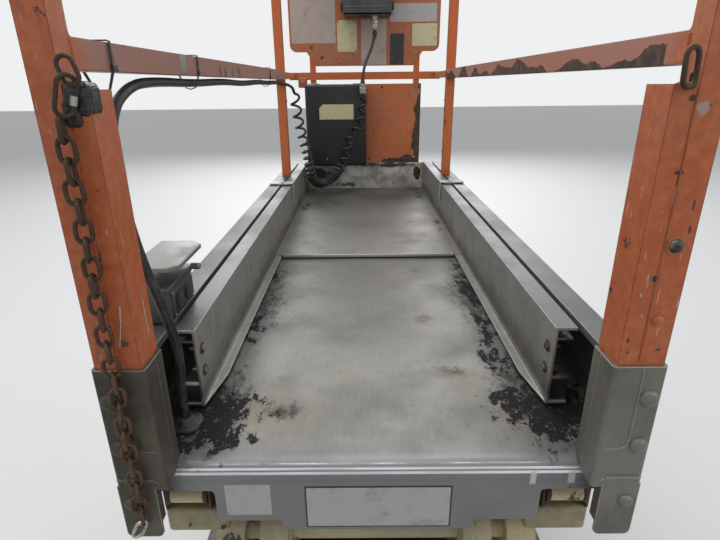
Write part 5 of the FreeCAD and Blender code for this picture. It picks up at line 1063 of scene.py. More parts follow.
# Post sockets. Bent plates welded to the deck's rear corners hold the rear posts. Three carriage bolts go
# through each, a bead runs round the stub, and the plate's top edge is rubbed bright.
SEAM = [(0.3215, 1.077), (0.3215, 0.972), (0.3190, 0.962), (0.3110, 0.958), (0.2900, 0.957)]
socket_sides = (
    # The left socket's metal is darker and browner than the right one's: painted shade, with brown stain.
    (-1, "left", bare_sheet("left_socket_metal_shade_and_stain", (0.105, 0.094, 0.072), (0.050, 0.044, 0.032), streak=(1, 1, 0.2),
                            seed=9.0, roughness=0.46, metallic=0.5, edge_tone=(0.50, 0.46, 0.38))[0]),
    (1, "right", bare_sheet("right_socket_metal", (0.190, 0.180, 0.155), (0.120, 0.112, 0.094), streak=(1, 1, 0.2),
                            seed=11.0, roughness=0.44, metallic=0.5, edge_tone=(0.62, 0.60, 0.54))[0]),
)
for facing, name, metal in socket_sides:
    dress(metal, f"post_socket_{name}")
    mesh = bmesh.new()
    for up, radius in ((1.034, 0.0125), (0.963, 0.0118), (0.870, 0.0105)):
        dome_bolt(mesh, (0.3355 * facing, -0.9635, up), (0, -1, 0), radius, 0.0068)
    weld_bead(mesh, (0.301 * facing, -0.9641, 0.9105), (0.350 * facing, -0.9641, 0.9105), 0.0030, 0.009)
    weld_bead(mesh, (0.286 * facing, -0.9600, 0.897), (0.302 * facing, -0.9641, 0.9100), 0.0026, 0.007)
    low, high = sorted((0.2842 * facing, 0.2886 * facing))
    block(mesh, (low, -0.9300, 0.9030), (high, -0.9105, 1.0800), 0.0008)
    low, high = sorted((0.3110 * facing, 0.3139 * facing))
    block(mesh, (low, -0.9610, 0.8120), (high, -0.9280, 0.8990), 0.0008)
    for (across, up), (further, lower) in zip(SEAM, SEAM[1:]):
        weld_bead(mesh, (across * facing, -0.9640, up), (further * facing, -0.9640, lower), 0.0015, 0.006)
    put(mesh, f"{name}_socket_bolts", metal, "platform")
dress(zinc, "outlet_box")

# Side rails. Welded square tube in orange paint. The left mid rail has faded to a dusty pink, the right one
# has rusted along its lower edge, and both posts are chipped and stained with rust.
def upright_spots(tree, place, marks):
    """The strongest of several soft ellipses in X and Z."""
    upright = add_node(tree, "ShaderNodeCombineXYZ")
    parts = add_node(tree, "ShaderNodeSeparateXYZ")
    tree.links.new(place, parts.inputs[0])
    tree.links.new(parts.outputs["X"], upright.inputs["X"])
    tree.links.new(parts.outputs["Z"], upright.inputs["Y"])
    return spots_of(tree, upright.outputs[0], marks)


def side_rail_paint(name, faded_tone, seed, torn=None, drip_span=None, rust_marks=(), grey_marks=()):
    """Orange paint that has faded on the mid rail, with rust from below, drips and streaks on the posts."""
    finish, tree, shader, coat, gone = painted(
        name, (0.405, 0.088, 0.022), (0.48, 0.130, 0.038), (0.085, 0.050, 0.034), 0.22, seed=seed, dusting=0.12)
    place, across, along, up = placed(tree)
    rear_face = shaded(tree, along, -0.9590, -0.9580, 1.0, 0.0)
    on_rail = combined(tree, "MULTIPLY", band(tree, up, 1.4175, 1.4525, 0.0008), shaded(tree, along, -0.93, -0.88))
    cloud = shaded(tree, speckled(tree, 14.0, 6.0, 0.6, (1, 0.35, 1), seed), 0.2, 0.55, 0.55, 1.0)
    coat = blended(tree, combined(tree, "MULTIPLY", combined(tree, "MULTIPLY", on_rail, cloud), 0.9), coat, faded_tone)
    streaks = shaded(tree, speckled(tree, 95.0, 5.0, 0.6, (1, 1, 0.06), seed), 0.60, 0.72, 0.0, 0.7)
    coat = blended(tree, combined(tree, "MULTIPLY", streaks, shaded(tree, along, -0.925, -0.92, 1.0, 0.0)), coat,
                   (0.17, 0.062, 0.030))
    coat = blended(tree, combined(tree, "MULTIPLY", shaded(tree, along, 0.50, 0.54), 0.65), coat, (0.56, 0.135, 0.030))
    if drip_span is not None:
        drips = shaded(tree, speckled(tree, 42.0, 3.0, 0.5, (1, 1, 0.10), seed + 2), 0.54, 0.58)
        drips = combined(tree, "MULTIPLY", drips, band(tree, along, *drip_span, 0.04))
        drips = combined(tree, "MULTIPLY", drips, shaded(tree, up, 1.432, 1.444, 1.0, 0.0))
        coat = blended(tree, combined(tree, "MULTIPLY", drips, on_rail), coat, (0.085, 0.045, 0.038))
    if torn is not None:
        hills = added(tree, up, combined(tree, "MULTIPLY", speckled(tree, 10.0, 1.5, 0.4, (1, 1, 0.2), seed), -0.105))
        edge = added(tree, hills, combined(tree, "MULTIPLY", speckled(tree, 130.0, 6.0, 0.7, seed=seed), -0.010))
        missing = combined(tree, "MULTIPLY", shaded(tree, edge, torn, torn + 0.0006, 1.0, 0.0),
                           band(tree, up, 1.4175, 1.4525, 0.0008))
        missing = combined(tree, "MULTIPLY", missing, shaded(tree, along, -0.892, -0.890))
        gone = combined(tree, "MAXIMUM", gone, missing)
    if rust_marks:
        spotted = added(tree, combined(tree, "MULTIPLY", upright_spots(tree, place, rust_marks), rear_face),
                        combined(tree, "MULTIPLY", speckled(tree, 190.0, 8.0, 0.75, seed=seed + 6), 1.4))
        gone = combined(tree, "MAXIMUM", gone, shaded(tree, spotted, 1.06, 1.12))
    metal = blended(tree, shaded(tree, speckled(tree, 60.0, 6.0), 0.4, 0.65), (0.040, 0.026, 0.019), (0.120, 0.060, 0.033))
    colour = blended(tree, gone, coat, metal)
    if grey_marks:
        rubbed = added(tree, combined(tree, "MULTIPLY", upright_spots(tree, place, grey_marks), rear_face),
                       combined(tree, "MULTIPLY", speckled(tree, 170.0, 9.0, 0.8, seed=seed), 1.8))
        worn_grey = shaded(tree, rubbed, 1.28, 1.36, 0.0, 0.85)
        colour = blended(tree, worn_grey, colour, (0.36, 0.30, 0.27))
    tree.links.new(colour, shader.inputs["Base Color"])
    tree.links.new(shaded(tree, gone, 0.0, 1.0, 0.42, 0.78), shader.inputs["Roughness"])
    return finish


dress(side_rail_paint("left_rail_paint", (0.285, 0.150, 0.112), 1.0, drip_span=(-0.46, -0.18), rust_marks=(
    ((-0.304, 1.116), (0.012, 0.012), 0.6), ((-0.300, 1.30), (0.010, 0.006), 0.5), ((-0.311, 1.22), (0.004, 0.03), 0.5),
)), "side_rail_left")
dress(side_rail_paint("right_rail_paint", (0.385, 0.165, 0.115), 6.0, torn=1.3745, rust_marks=(
    ((0.334, 1.102), (0.007, 0.004), 0.7), ((0.336, 1.279), (0.003, 0.014), 0.7), ((0.338, 1.251), (0.003, 0.010), 0.7),
    ((0.296, 1.116), (0.006, 0.009), 0.6), ((0.298, 1.099), (0.005, 0.006), 0.6), ((0.327, 1.380), (0.012, 0.006), 0.5),
), grey_marks=(((0.322, 1.377), (0.014, 0.014), 0.8),)), "side_rail_right")
rail_paint = side_rail_paint("rail_paint", (0.42, 0.14, 0.06), 3.0)

mesh = bmesh.new()
turned(mesh, [(0.0082, -0.0005), (0.0082, 0.0016), (0.0066, 0.0036), (0.0012, 0.0040), (0.0012, 0.0032), (0, 0.0032)],
       (0.327, -0.961, 1.233), (0, -1, 0), 28)
for facing in (-1, 1):
    for up in (1.14, 1.34):
        dome_bolt(mesh, (0.313 * facing, 0.581, up), (-facing, 0, 0), 0.006, 0.003)
put(mesh, "rail_bolts", oily_steel, "platform")
mesh = bmesh.new()
turned(mesh, [(0.0118, -0.0005), (0.0116, 0.0005), (0.0082, 0.0009)], (0.327, -0.961, 1.233), (0, -1, 0), 32)
dome_bolt(mesh, (0.326, -0.961, 1.140), (0, -1, 0), 0.0072, 0.0042)
turned(mesh, [(0.0062, -0.0005), (0.0060, 0.0005), (0.0042, 0.0007)], (0.312, -0.961, 1.194), (0, -1, 0), 24)
put(mesh, "rail_studs", rail_paint, "platform")
mesh = bmesh.new()
for across, up, radius in ((0.312, 1.194, 0.0043), (0.310, 1.387, 0.0030), (0.326, 1.140, 0.0)):
    if radius:
        turned(mesh, [(radius, -0.0005), (radius, 0.0005), (0, 0.0005)], (across, -0.961, up), (0, -1, 0), 20)
block(mesh, (0.3085, -0.9614, 1.3115), (0.3175, -0.9608, 1.3150), 0.0002)
block(mesh, (0.3122, -0.9613, 1.3000), (0.3138, -0.9608, 1.3120), 0.0002)
put(mesh, "rail_holes", label_black, "platform")
mesh = bmesh.new()
for start, end, width in (
    ((-0.300, -0.9611, 1.166), (-0.303, -0.9611, 1.143), 0.0009), ((-0.303, -0.9611, 1.143), (-0.310, -0.9611, 1.110), 0.0007),
    ((-0.2888, -0.928, 1.160), (-0.2888, -0.928, 1.108), 0.0009), ((0.2995, -0.9611, 1.176), (0.2995, -0.9611, 1.171), 0.0012),
    ((0.3050, -0.9611, 1.149), (0.3060, -0.9611, 1.145), 0.0012),
):
    weld_bead(mesh, start, end, width, 0.004)
put(mesh, "post_paint_drips", label_white, "platform")

mesh = bmesh.new()
for facing in (-1, 1):
    for low in (1.419, 1.968):
        for along in (-0.929, 0.565):
            if along < 0 and low > 1.9:
                continue
            for across in (0.3145, 0.3455):
                weld_bead(mesh, (across * facing, along, low + 0.001), (across * facing, along, low + 0.031), 0.0022, 0.005)
    weld_bead(mesh, (0.3142 * facing, -0.9612, 1.085), (0.3142 * facing, -0.9612, 1.40), 0.0012, 0.010)
    weld_bead(mesh, (0.290 * facing, -0.960, 1.4002), (0.3135 * facing, -0.960, 1.4002), 0.002, 0.006)
    for across in (0.3145, 0.3455):
        weld_bead(mesh, (across * facing, 0.566, 1.0475), (across * facing, 0.596, 1.0475), 0.0022, 0.005)
put(mesh, "rail_welds", rail_paint, "platform")

# Outlet box. A cast box on the left channel, with a dark socket face in a frame and a thick lid that stands
# open on its hinge. Its screws are rusty.
def cast_metal(name, tone, dark, edge_tone):
    finish, tree, shader = new_finish(name)
    shader.inputs["Metallic"].default_value = 0.4
    dull = shaded(tree, speckled(tree, 9.0, 7.0, 0.6), 0.42, 0.66)
    wear = place_group(tree, edge_wear, Width=0.0024, Amount=0.9, Break_Up=50.0)
    tree.links.new(blended(tree, combined(tree, "MULTIPLY", wear.outputs["Worn"], 0.75), blended(tree, dull, tone, dark),
                           edge_tone), shader.inputs["Base Color"])
    tree.links.new(shaded(tree, dull, 0.0, 1.0, 0.45, 0.65), shader.inputs["Roughness"])
    bump = add_node(tree, "ShaderNodeBump", Distance=0.0003, Strength=0.6)
    tree.links.new(speckled(tree, 320.0, 4.0), bump.inputs["Height"])
    tree.links.new(wear.outputs["Normal"], bump.inputs["Normal"])
    tree.links.new(bump.outputs["Normal"], shader.inputs["Normal"])
    return finish


dark_casting = cast_metal("dark_casting", (0.105, 0.101, 0.092), (0.062, 0.060, 0.053), (0.34, 0.33, 0.31))
pale_casting = cast_metal("pale_casting", (0.230, 0.228, 0.218), (0.185, 0.180, 0.166), (0.42, 0.41, 0.39))
mesh = bmesh.new()
block(mesh, (-0.378, -0.779, 1.047), (-0.322, -0.659, 1.104), 0.006, 3)
block(mesh, (-0.378, -0.779, 1.096), (-0.320, -0.657, 1.109), 0.004, 2)
block(mesh, (-0.3235, -0.765, 1.052), (-0.3195, -0.673, 1.098), 0.003, 2)
outlet = put(mesh, "outlet_casting", dark_casting, "platform")
mesh = bmesh.new()
block(mesh, (-0.3205, -0.757, 1.057), (-0.3188, -0.681, 1.092), 0.001)
for along in (-0.738, -0.700):
    turned(mesh, [(0.0145, 0), (0.0145, 0.0012), (0.013, 0.0018), (0, 0.0018)], (-0.3188, along, 1.0745), (1, 0, 0), 28)
    for shift in (-0.004, 0.004):
        block(mesh, (-0.3172, along + shift - 0.001, 1.073), (-0.3166, along + shift + 0.001, 1.081))
put(mesh, "outlet_face", black_plastic, "platform")
mesh = bmesh.new()
lid_corners = [(-0.378, -0.779), (-0.318, -0.779), (-0.302, -0.763), (-0.302, -0.655), (-0.318, -0.639), (-0.378, -0.639)]
for level, shrink in ((1.1365, 0.0), (1.143, 0.0), (1.1448, 0.0025)):
    ring = [mesh.verts.new((across - shrink * (1 if across > -0.34 else -1), along - shrink * (1 if along > -0.71 else -1),
                            level)) for across, along in lid_corners]
    if level > 1.1366:
        for step in range(6):
            mesh.faces.new((last[step], last[(step + 1) % 6], ring[(step + 1) % 6], ring[step]))
    else:
        mesh.faces.new(list(reversed(ring)))
    last = ring
mesh.faces.new(last)
for along in (-0.762, -0.665):
    turned(mesh, [(0.0055, 0), (0.0055, 0.028), (0, 0.028)], (-0.3715, along - 0.014, 1.1155), (0, 1, 0), 16)
    block(mesh, (-0.377, along - 0.010, 1.106), (-0.367, along + 0.010, 1.140), 0.002)
turned(mesh, [(0.006, 0), (0.006, 0.014), (0.004, 0.016), (0, 0.016)], (-0.3225, -0.6585, 1.103), (1, 0, 0), 16)
put(mesh, "outlet_lid", pale_casting, "platform")
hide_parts("outlet_box")
mesh = bmesh.new()
for along in (-0.762, -0.676):
    for up in (1.056, 1.094):
        dome_bolt(mesh, (-0.3196, along, up), (1, 0, 0), 0.0032, 0.0016)
put(mesh, "outlet_screws", oily_steel, "platform")

# Cable grommet. A moulded rubber ring pressed into the deck, with a swept lip round the cable.
mesh = bmesh.new()
turned(mesh, [(0.0078, 0.000), (0.0078, 0.016), (0.011, 0.0155), (0.0135, 0.010), (0.0175, 0.0075), (0.024, 0.0075),
              (0.0265, 0.006), (0.027, 0.003), (0.027, 0.000)], (-0.300, -0.835, 0.900), (0, 0, 1), 36)
grommet = put(mesh, "grommet_ring", rubber, "platform", 60)
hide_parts("cable_grommet")

# Entry chain. Rusty welded links hang from a quick link and an eye on the left post, with black tape wound
# round the post's stub. The last link carries a snap hook, and the ring that it clips to is on the right post.
rusty_chain, tree, shader = new_finish("rusty_chain")
scale = speckled(tree, 150.0, 7.0, 0.7)
blotch = shaded(tree, speckled(tree, 28.0, 5.0, 0.6, seed=3.0), 0.40, 0.62)
shader.inputs["Metallic"].default_value = 0.45
deep = blended(tree, shaded(tree, scale, 0.38, 0.64), (0.036, 0.021, 0.014), (0.165, 0.070, 0.032))
deep = blended(tree, blotch, deep, (0.095, 0.062, 0.038))
tree.links.new(blended(tree, shaded(tree, placed(tree)[3], 1.02, 1.34, 0.0, 0.72), deep, (0.040, 0.031, 0.020)),
               shader.inputs["Base Color"])
tree.links.new(shaded(tree, scale, 0.3, 0.7, 0.42, 0.8), shader.inputs["Roughness"])
relief(tree, shader, scale, 0.0007)


def wire_loop(mesh, centre, half_width, half_length, wire, spin, tilt=0.0, sides=10):
    """A closed link of round wire whose long side stands upright, leaned over and turned upright."""
    straight = half_length - half_width
    path = []
    for step in range(9):
        turn = math.pi * step / 8
        path.append((half_width * math.cos(turn), straight + half_width * math.sin(turn)))
    for step in range(9):
        turn = math.pi + math.pi * step / 8
        path.append((half_width * math.cos(turn), -straight + half_width * math.sin(turn)))
    spun = Matrix.Rotation(tilt, 3, "Y") @ Matrix.Rotation(spin, 3, "Z")
    rings = []
    for step, (across, up) in enumerate(path):
        before, after = path[step - 1], path[(step + 1) % len(path)]
        along = Vector((after[0] - before[0], 0, after[1] - before[1])).normalized()
        out = Vector((along.z, 0, -along.x))
        ring = []
        for side in range(sides):
            turn = math.tau * side / sides
            spot = Vector((across, 0, up)) + out * wire * math.cos(turn) + Vector((0, wire * math.sin(turn), 0))
            ring.append(mesh.verts.new(Vector(centre) + spun @ spot))
        rings.append(ring)
    for step in range(len(rings)):
        lower, upper = rings[step], rings[(step + 1) % len(rings)]
        for side in range(sides):
            after = (side + 1) % sides
            mesh.faces.new((lower[side], lower[after], upper[after], upper[side]))


sway = random.Random(7)
mesh = bmesh.new()
for number in range(25):
    spin = (math.pi / 2 if number % 2 == 0 else 0.0) + 0.35 + sway.uniform(-0.22, 0.22)
    wire_loop(mesh, (-0.314 - 0.00025 * number + sway.uniform(-0.0012, 0.0012), -0.9745, 1.364 - 0.021 * number), 0.0080, 0.0130, 0.0026,
              spin, sway.uniform(-0.06, 0.06))
chain = put(mesh, "chain_links", rusty_chain, "platform", 180)
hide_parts("entry_chain")
mesh = bmesh.new()
wire_loop(mesh, (-0.2985, -0.9720, 1.4180), 0.0075, 0.0135, 0.0024, 0.15, -0.28)
wire_loop(mesh, (-0.3045, -0.9740, 1.3950), 0.0088, 0.0200, 0.0024, 0.75, 0.30)
wire_loop(mesh, (0.2955, -0.9715, 1.4150), 0.0076, 0.0180, 0.0027, 0.30, -0.06)
wire_loop(mesh, (0.3050, -0.9640, 1.4040), 0.0050, 0.0070, 0.0022, 1.40, 0.0)
put(mesh, "chain_rings", rusty_chain, "platform", 180)
mesh = bmesh.new()
turned(mesh, [(0, 0), (0.0035, 0), (0.0035, 0.009), (0, 0.009)], (-0.2982, -0.9750, 1.386), (0.30, 0.0, 1), 6)
wire_loop(mesh, (-0.3260, -0.9745, 0.836), 0.0065, 0.0150, 0.0026, 0.5, 0.45)
block(mesh, (-0.3240, -0.9775, 0.843), (-0.3170, -0.9715, 0.852), 0.002)
put(mesh, "snap_hook", zinc, "platform", 60)

black_tape, tree, shader = new_finish("black_tape")
folds = speckled(tree, 34.0, 5.0, 0.6, (1, 1, 3.0))
tree.links.new(blended(tree, shaded(tree, folds, 0.4, 0.7), (0.006, 0.006, 0.007), (0.026, 0.025, 0.023)),
               shader.inputs["Base Color"])
tree.links.new(shaded(tree, folds, 0.3, 0.7, 0.35, 0.6), shader.inputs["Roughness"])
relief(tree, shader, folds, 0.002)
mesh = bmesh.new()
block(mesh, (-0.3150, -0.9650, 1.374), (-0.2870, -0.936, 1.408), 0.008, 4)
block(mesh, (-0.3170, -0.9660, 1.364), (-0.2990, -0.946, 1.392), 0.006, 4)
bmesh.ops.subdivide_edges(mesh, edges=mesh.edges[:], cuts=2, use_grid_fill=True)
for vertex in mesh.verts:
    vertex.co += Vector((sway.uniform(-1, 1), sway.uniform(-0.5, 0.5), sway.uniform(-1, 1))) * 0.0008
put(mesh, "tape_lump", black_tape, "platform", 60)
tape_grey = plain_label("tape_grey", (0.27, 0.265, 0.25), (0.15, 0.145, 0.13), 60.0, 7.0)
mesh = bmesh.new()
block(mesh, (-0.3150, -0.606, 1.4225), (-0.3132, -0.577, 1.4495), 0.0006)
block(mesh, (-0.3460, -0.600, 1.4504), (-0.3145, -0.575, 1.4516), 0.0004)
put(mesh, "rail_tape", tape_grey, "platform")

# Extension channels. Heavier aluminium channels that run inside the side channels on wear blocks. Bolts hold
# the blocks, and brown dirt has gathered on the skid lips.
# Its top flange is painted darker than its faces: painted shade.
inner_metal = bare_sheet("inner_channel_metal", (0.370, 0.370, 0.350), (0.250, 0.248, 0.225), streak=(1, 1, 0.12),
                         seed=12.0, foot=(0.930, 0.985), top=(1.046, (0.090, 0.092, 0.094)))[0]
dress(inner_metal, "inner_channel_left", "inner_channel_right")
dress(black_plastic, "wear_blocks")
mesh, rust_rings = bmesh.new(), bmesh.new()
for facing in (-1, 1):
    for up in (1.003, 0.963):
        hex_bolt(mesh, (0.281 * facing, -0.775, up), (-facing, 0, 0), 0.0062, 0.0035)
        turned(rust_rings, [(0.0105, -0.0004), (0.0100, 0.0010), (0.0060, 0.0014)], (0.281 * facing, -0.775, up),
               (-facing, 0, 0), 24)
        turned(mesh, [(0.0055, 0), (0.0055, 0.008), (0.003, 0.009), (0.003, 0.014), (0, 0.014)],
               (0.2862 * facing, -0.775, up), (facing, 0, 0), 12)
    low, high = sorted((0.2862 * facing, 0.3145 * facing))
    block(mesh, (low, -0.790, 1.020), (high, -0.730, 1.0245), 0.001)
put(mesh, "wear_block_bolts", oily_steel, "extension")
put(rust_rings, "wear_block_rings", rusty_chain, "extension")
mesh = bmesh.new()
block(mesh, (0.2865, -0.796, 0.9520), (0.3140, -0.760, 0.9575), 0.001)
put(mesh, "right_slide_tab", oily_steel, "extension")
mesh = bmesh.new()
block(mesh, (-0.3145, -0.796, 0.9450), (-0.2865, -0.760, 0.9500), 0.001)
block(mesh, (-0.3140, -0.796, 0.9060), (-0.2870, -0.770, 0.9105), 0.001)
put(mesh, "left_slide_tab", pale_metal, "extension")

# Extension deck and toe board. A lighter sheet that slides over the main deck, darker towards its toe board, which is
# bent up from the same sheet. The toe board's face is painted much lighter than the deck: painted light. Rust has
# started where the torn panel meets it.
extension_metal, tree, shader, colour, rough = bare_sheet(
    "extension_metal", (0.292, 0.290, 0.272), (0.210, 0.207, 0.188), seed=20.0,
    spots=(((0.262, 0.30), (0.035, 0.30), 0.5), ((-0.262, 0.60), (0.05, 0.30), 0.62),
           ((0.250, 0.800), (0.07, 0.20), 0.62), ((-0.10, 0.86), (0.20, 0.10), 0.45)),
    stains=(((0.10, 0.78), (0.20, 0.16), 0.7), ((-0.18, 0.64), (0.10, 0.16), 0.6), ((0.235, 0.93), (0.05, 0.06), 1.0),
            ((0.02, 0.30), (0.20, 0.10), 0.25)),
    roughness=0.46,
)
place, across, along, up = placed(tree)
toe_board = shaded(tree, up, 0.9150, 0.9190)
patchy = shaded(tree, speckled(tree, 13.0, 8.0, 0.66, seed=21.0), 0.38, 0.62)
# Painted light: the toe board's face gets a tone about twice as light as the deck's. The black blots and rust laid on
# it below are its own marks.
toe_tone_painted_light = blended(tree, patchy, (0.600, 0.590, 0.550), (0.300, 0.285, 0.245))
ragged = combined(tree, "MULTIPLY", speckled(tree, 30.0, 9.0, 0.72, seed=23.0), 1.3)
blots = added(tree, upright_spots(tree, place, (
    ((-0.230, 0.990), (0.13, 0.06), 0.8), ((-0.100, 0.935), (0.12, 0.03), 0.6), ((0.100, 1.030), (0.34, 0.03), 0.6),
)), ragged)
toe_tone_painted_light = blended(tree, shaded(tree, blots, 0.95, 1.20), toe_tone_painted_light, (0.060, 0.055, 0.045))
rust_hole = added(tree, upright_spots(tree, place, (((0.254, 0.985), (0.030, 0.055), 1.0),)), ragged)
toe_tone_painted_light = blended(tree, shaded(tree, rust_hole, 0.98, 1.10), toe_tone_painted_light, (0.055, 0.036, 0.024))
flakes = combined(tree, "MULTIPLY", shaded(tree, rust_hole, 1.25, 1.35),
                  shaded(tree, speckled(tree, 90.0, 6.0, 0.7, seed=25.0), 0.50, 0.58))
toe_tone_painted_light = blended(tree, flakes, toe_tone_painted_light, (0.42, 0.17, 0.07))
# Darker towards the toe board.
colour = blended(tree, shaded(tree, along, 0.40, 0.80, 0.0, 0.55), colour, (0.100, 0.098, 0.086))
colour = blended(tree, toe_board, colour, toe_tone_painted_light)
tree.links.new(colour, shader.inputs["Base Color"])
dress(extension_metal, "extension_deck")
mesh = bmesh.new()
block(mesh, (-0.2650, 0.905, 0.9122), (0.2650, 0.912, 0.9150), 0.0012)
weld_bead(mesh, (-0.2750, 0.9505, 0.9135), (0.2750, 0.9505, 0.9135), 0.0022, 0.012)
for facing in (-1, 1):
    weld_bead(mesh, (0.2805 * facing, -0.040, 0.9130), (0.2805 * facing, 0.945, 0.9130), 0.0018, 0.012)
put(mesh, "extension_seams", extension_metal, "extension")
mesh = bmesh.new()
block(mesh, (-0.2625, -0.0500, 0.9035), (0.2625, -0.0455, 0.9131), 0.0014, 3)
put(mesh, "extension_hem", pale_metal, "extension")

# Extension rail. A welded square-tube frame in orange paint, whose side tubes slide in the side rails.
dress(rail_paint, "front_rail")
panel_paint = painted("panel_paint", (0.36, 0.105, 0.036), (0.42, 0.140, 0.055), (0.085, 0.050, 0.034), 0.26, seed=17.0)[0]
mesh = bmesh.new()
for facing in (-1, 1):
    for low in (1.4195, 1.4505, 1.9685):
        weld_bead(mesh, (0.226 * facing, 0.9538, low), (0.249 * facing, 0.9538, low), 0.002, 0.005)
put(mesh, "front_rail_welds", rail_paint, "extension")
mesh = bmesh.new()
block(mesh, (-0.306, 0.938, 1.385), (-0.264, 0.9545, 1.430), 0.007, 5)
dome_bolt(mesh, (-0.285, 0.938, 1.408), (0, -1, 0), 0.008, 0.004)
put(mesh, "rail_bracket", panel_paint, "extension")

# Lower panel. Sheet steel in orange paint. The paint has torn away in a ragged line along its right side and
# its foot, and dark, rusty metal shows there.
finish, tree, shader, coat, gone = painted(
    "torn_panel_paint", (0.47, 0.122, 0.034), (0.52, 0.160, 0.055), (0.085, 0.050, 0.034), 0.22, seed=14.0)
place, across, along, up = placed(tree)
ragged = combined(tree, "MULTIPLY", speckled(tree, 15.0, 8.0, 0.66, (1, 1, 0.8), 5.0), 0.085)
slope = combined(tree, "MULTIPLY", combined(tree, "SUBTRACT", 1.40, up), 0.055)
right_line = added(tree, added(tree, across, ragged), slope)
foot_line = combined(tree, "SUBTRACT", combined(tree, "SUBTRACT", up, ragged), combined(tree, "MULTIPLY", across, 0.20))
torn = combined(tree, "MAXIMUM", shaded(tree, right_line, 0.283, 0.285), shaded(tree, foot_line, 0.990, 0.992, 1.0, 0.0))
hidden = blended(tree, shaded(tree, speckled(tree, 42.0, 8.0, 0.7), 0.40, 0.66), (0.030, 0.024, 0.018), (0.105, 0.062, 0.036))
scuff = spots_of(tree, place, (((0.125, 0.95), (0.05, 0.2), 1.0),))
pale = combined(tree, "MULTIPLY", scuff, shaded(tree, speckled(tree, 55.0, 4.0, 0.5, (1, 1, 0.3), 2.0), 0.66, 0.72))
coat = blended(tree, pale, coat, (0.55, 0.42, 0.33))
lost = combined(tree, "MAXIMUM", torn, gone)
tree.links.new(blended(tree, lost, coat, hidden), shader.inputs["Base Color"])
tree.links.new(shaded(tree, lost, 0.0, 1.0, 0.40, 0.8), shader.inputs["Roughness"])
bump = add_node(tree, "ShaderNodeBump", Distance=0.0012, Strength=0.8, invert=True)
tree.links.new(torn, bump.inputs["Height"])
tree.links.new(bump.outputs["Normal"], shader.inputs["Normal"])
dress(finish, "lower_panel")
mesh = bmesh.new()
for across, up in ((0.235, 1.385), (0.020, 1.060), (0.235, 1.065), (0.080, 1.385)):
    dome_bolt(mesh, (across, 0.951, up), (0, -1, 0), 0.006, 0.003)
put(mesh, "lower_panel_bolts", oily_steel, "extension")

# Upper panel. Sheet steel in orange paint behind the control box, with blank plates and labels on it.
dress(panel_paint, "upper_panel")
for number, (left, right, low, high, finish) in enumerate((
    (-0.327, -0.129, 1.572, 1.960, label_warm), (-0.122, -0.034, 1.536, 1.664, label_cream),
    (-0.015, 0.098, 1.481, 1.667, label_warm), (0.115, 0.177, 1.481, 1.609, label_black),
    (0.114, 0.320, 1.656, 1.729, label_white), (0.213, 0.324, 1.558, 1.649, label_cream),
    (0.114, 0.320, 1.745, 1.940, label_white),
), start=1):
    mesh = bmesh.new()
    facing_plate(mesh, left, right, low, high, 0.9502, 0.9511, 0.004)
    put(mesh, f"panel_plate_{number}", finish, "extension")
mesh = bmesh.new()
for across in (-0.238, 0.238):
    for up in (1.556, 1.940):
        dome_bolt(mesh, (across, 0.951, up), (0, -1, 0), 0.0065, 0.003)
for across, up in ((-0.117, 1.659), (-0.039, 1.659), (-0.117, 1.541), (-0.039, 1.541)):
    dome_bolt(mesh, (across, 0.9502, up), (0, -1, 0), 0.003, 0.0015)
put(mesh, "upper_panel_bolts", oily_steel, "extension")

# Manual box. A moulded black box with a hinged lid and a blank cream plate, screwed to the lower panel.
sooty_plastic, tree, shader = new_finish("sooty_plastic")
smears = shaded(tree, speckled(tree, 12.0, 8.0, 0.7, seed=12.0), 0.50, 0.74)
wear = place_group(tree, edge_wear, Width=0.003, Amount=0.45, Break_Up=40.0)
tree.links.new(blended(tree, wear.outputs["Worn"], blended(tree, smears, (0.0055, 0.0065, 0.0080), (0.024, 0.026, 0.029)),
                       (0.045, 0.046, 0.048)), shader.inputs["Base Color"])
tree.links.new(shaded(tree, smears, 0.0, 1.0, 0.46, 0.68), shader.inputs["Roughness"])
tree.links.new(wear.outputs["Normal"], shader.inputs["Normal"])
mesh = bmesh.new()
block(mesh, (-0.270, 0.861, 1.040), (0.006, 0.951, 1.400), 0.012, 5)
block(mesh, (-0.264, 0.9480, 1.044), (0.000, 0.9508, 1.3985), 0.0008)
manual = put(mesh, "manual_case", sooty_plastic, "extension")
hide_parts("manual_box")
mesh = bmesh.new()
plate_corners = [(-0.207, 1.250), (-0.052, 1.250), (-0.052, 1.315), (-0.190, 1.315), (-0.207, 1.299)]
near = [mesh.verts.new((across, 0.8601, up)) for across, up in plate_corners]
far = [mesh.verts.new((across, 0.8612, up)) for across, up in plate_corners]
mesh.faces.new(near)
mesh.faces.new(list(reversed(far)))
for step in range(5):
    mesh.faces.new((near[step], far[step], far[(step + 1) % 5], near[(step + 1) % 5]))
put(mesh, "manual_box_plate", label_cream, "extension")
mesh = bmesh.new()
for across in (-0.235, -0.030):
    turned(mesh, [(0.0045, 0), (0.0045, 0.05), (0, 0.05)], (across - 0.025, 0.948, 1.3985), (1, 0, 0), 12)
dome_bolt(mesh, (-0.178, 0.861, 1.073), (0, -1, 0), 0.0045, 0.002)
put(mesh, "manual_box_fittings", oily_steel, "extension")

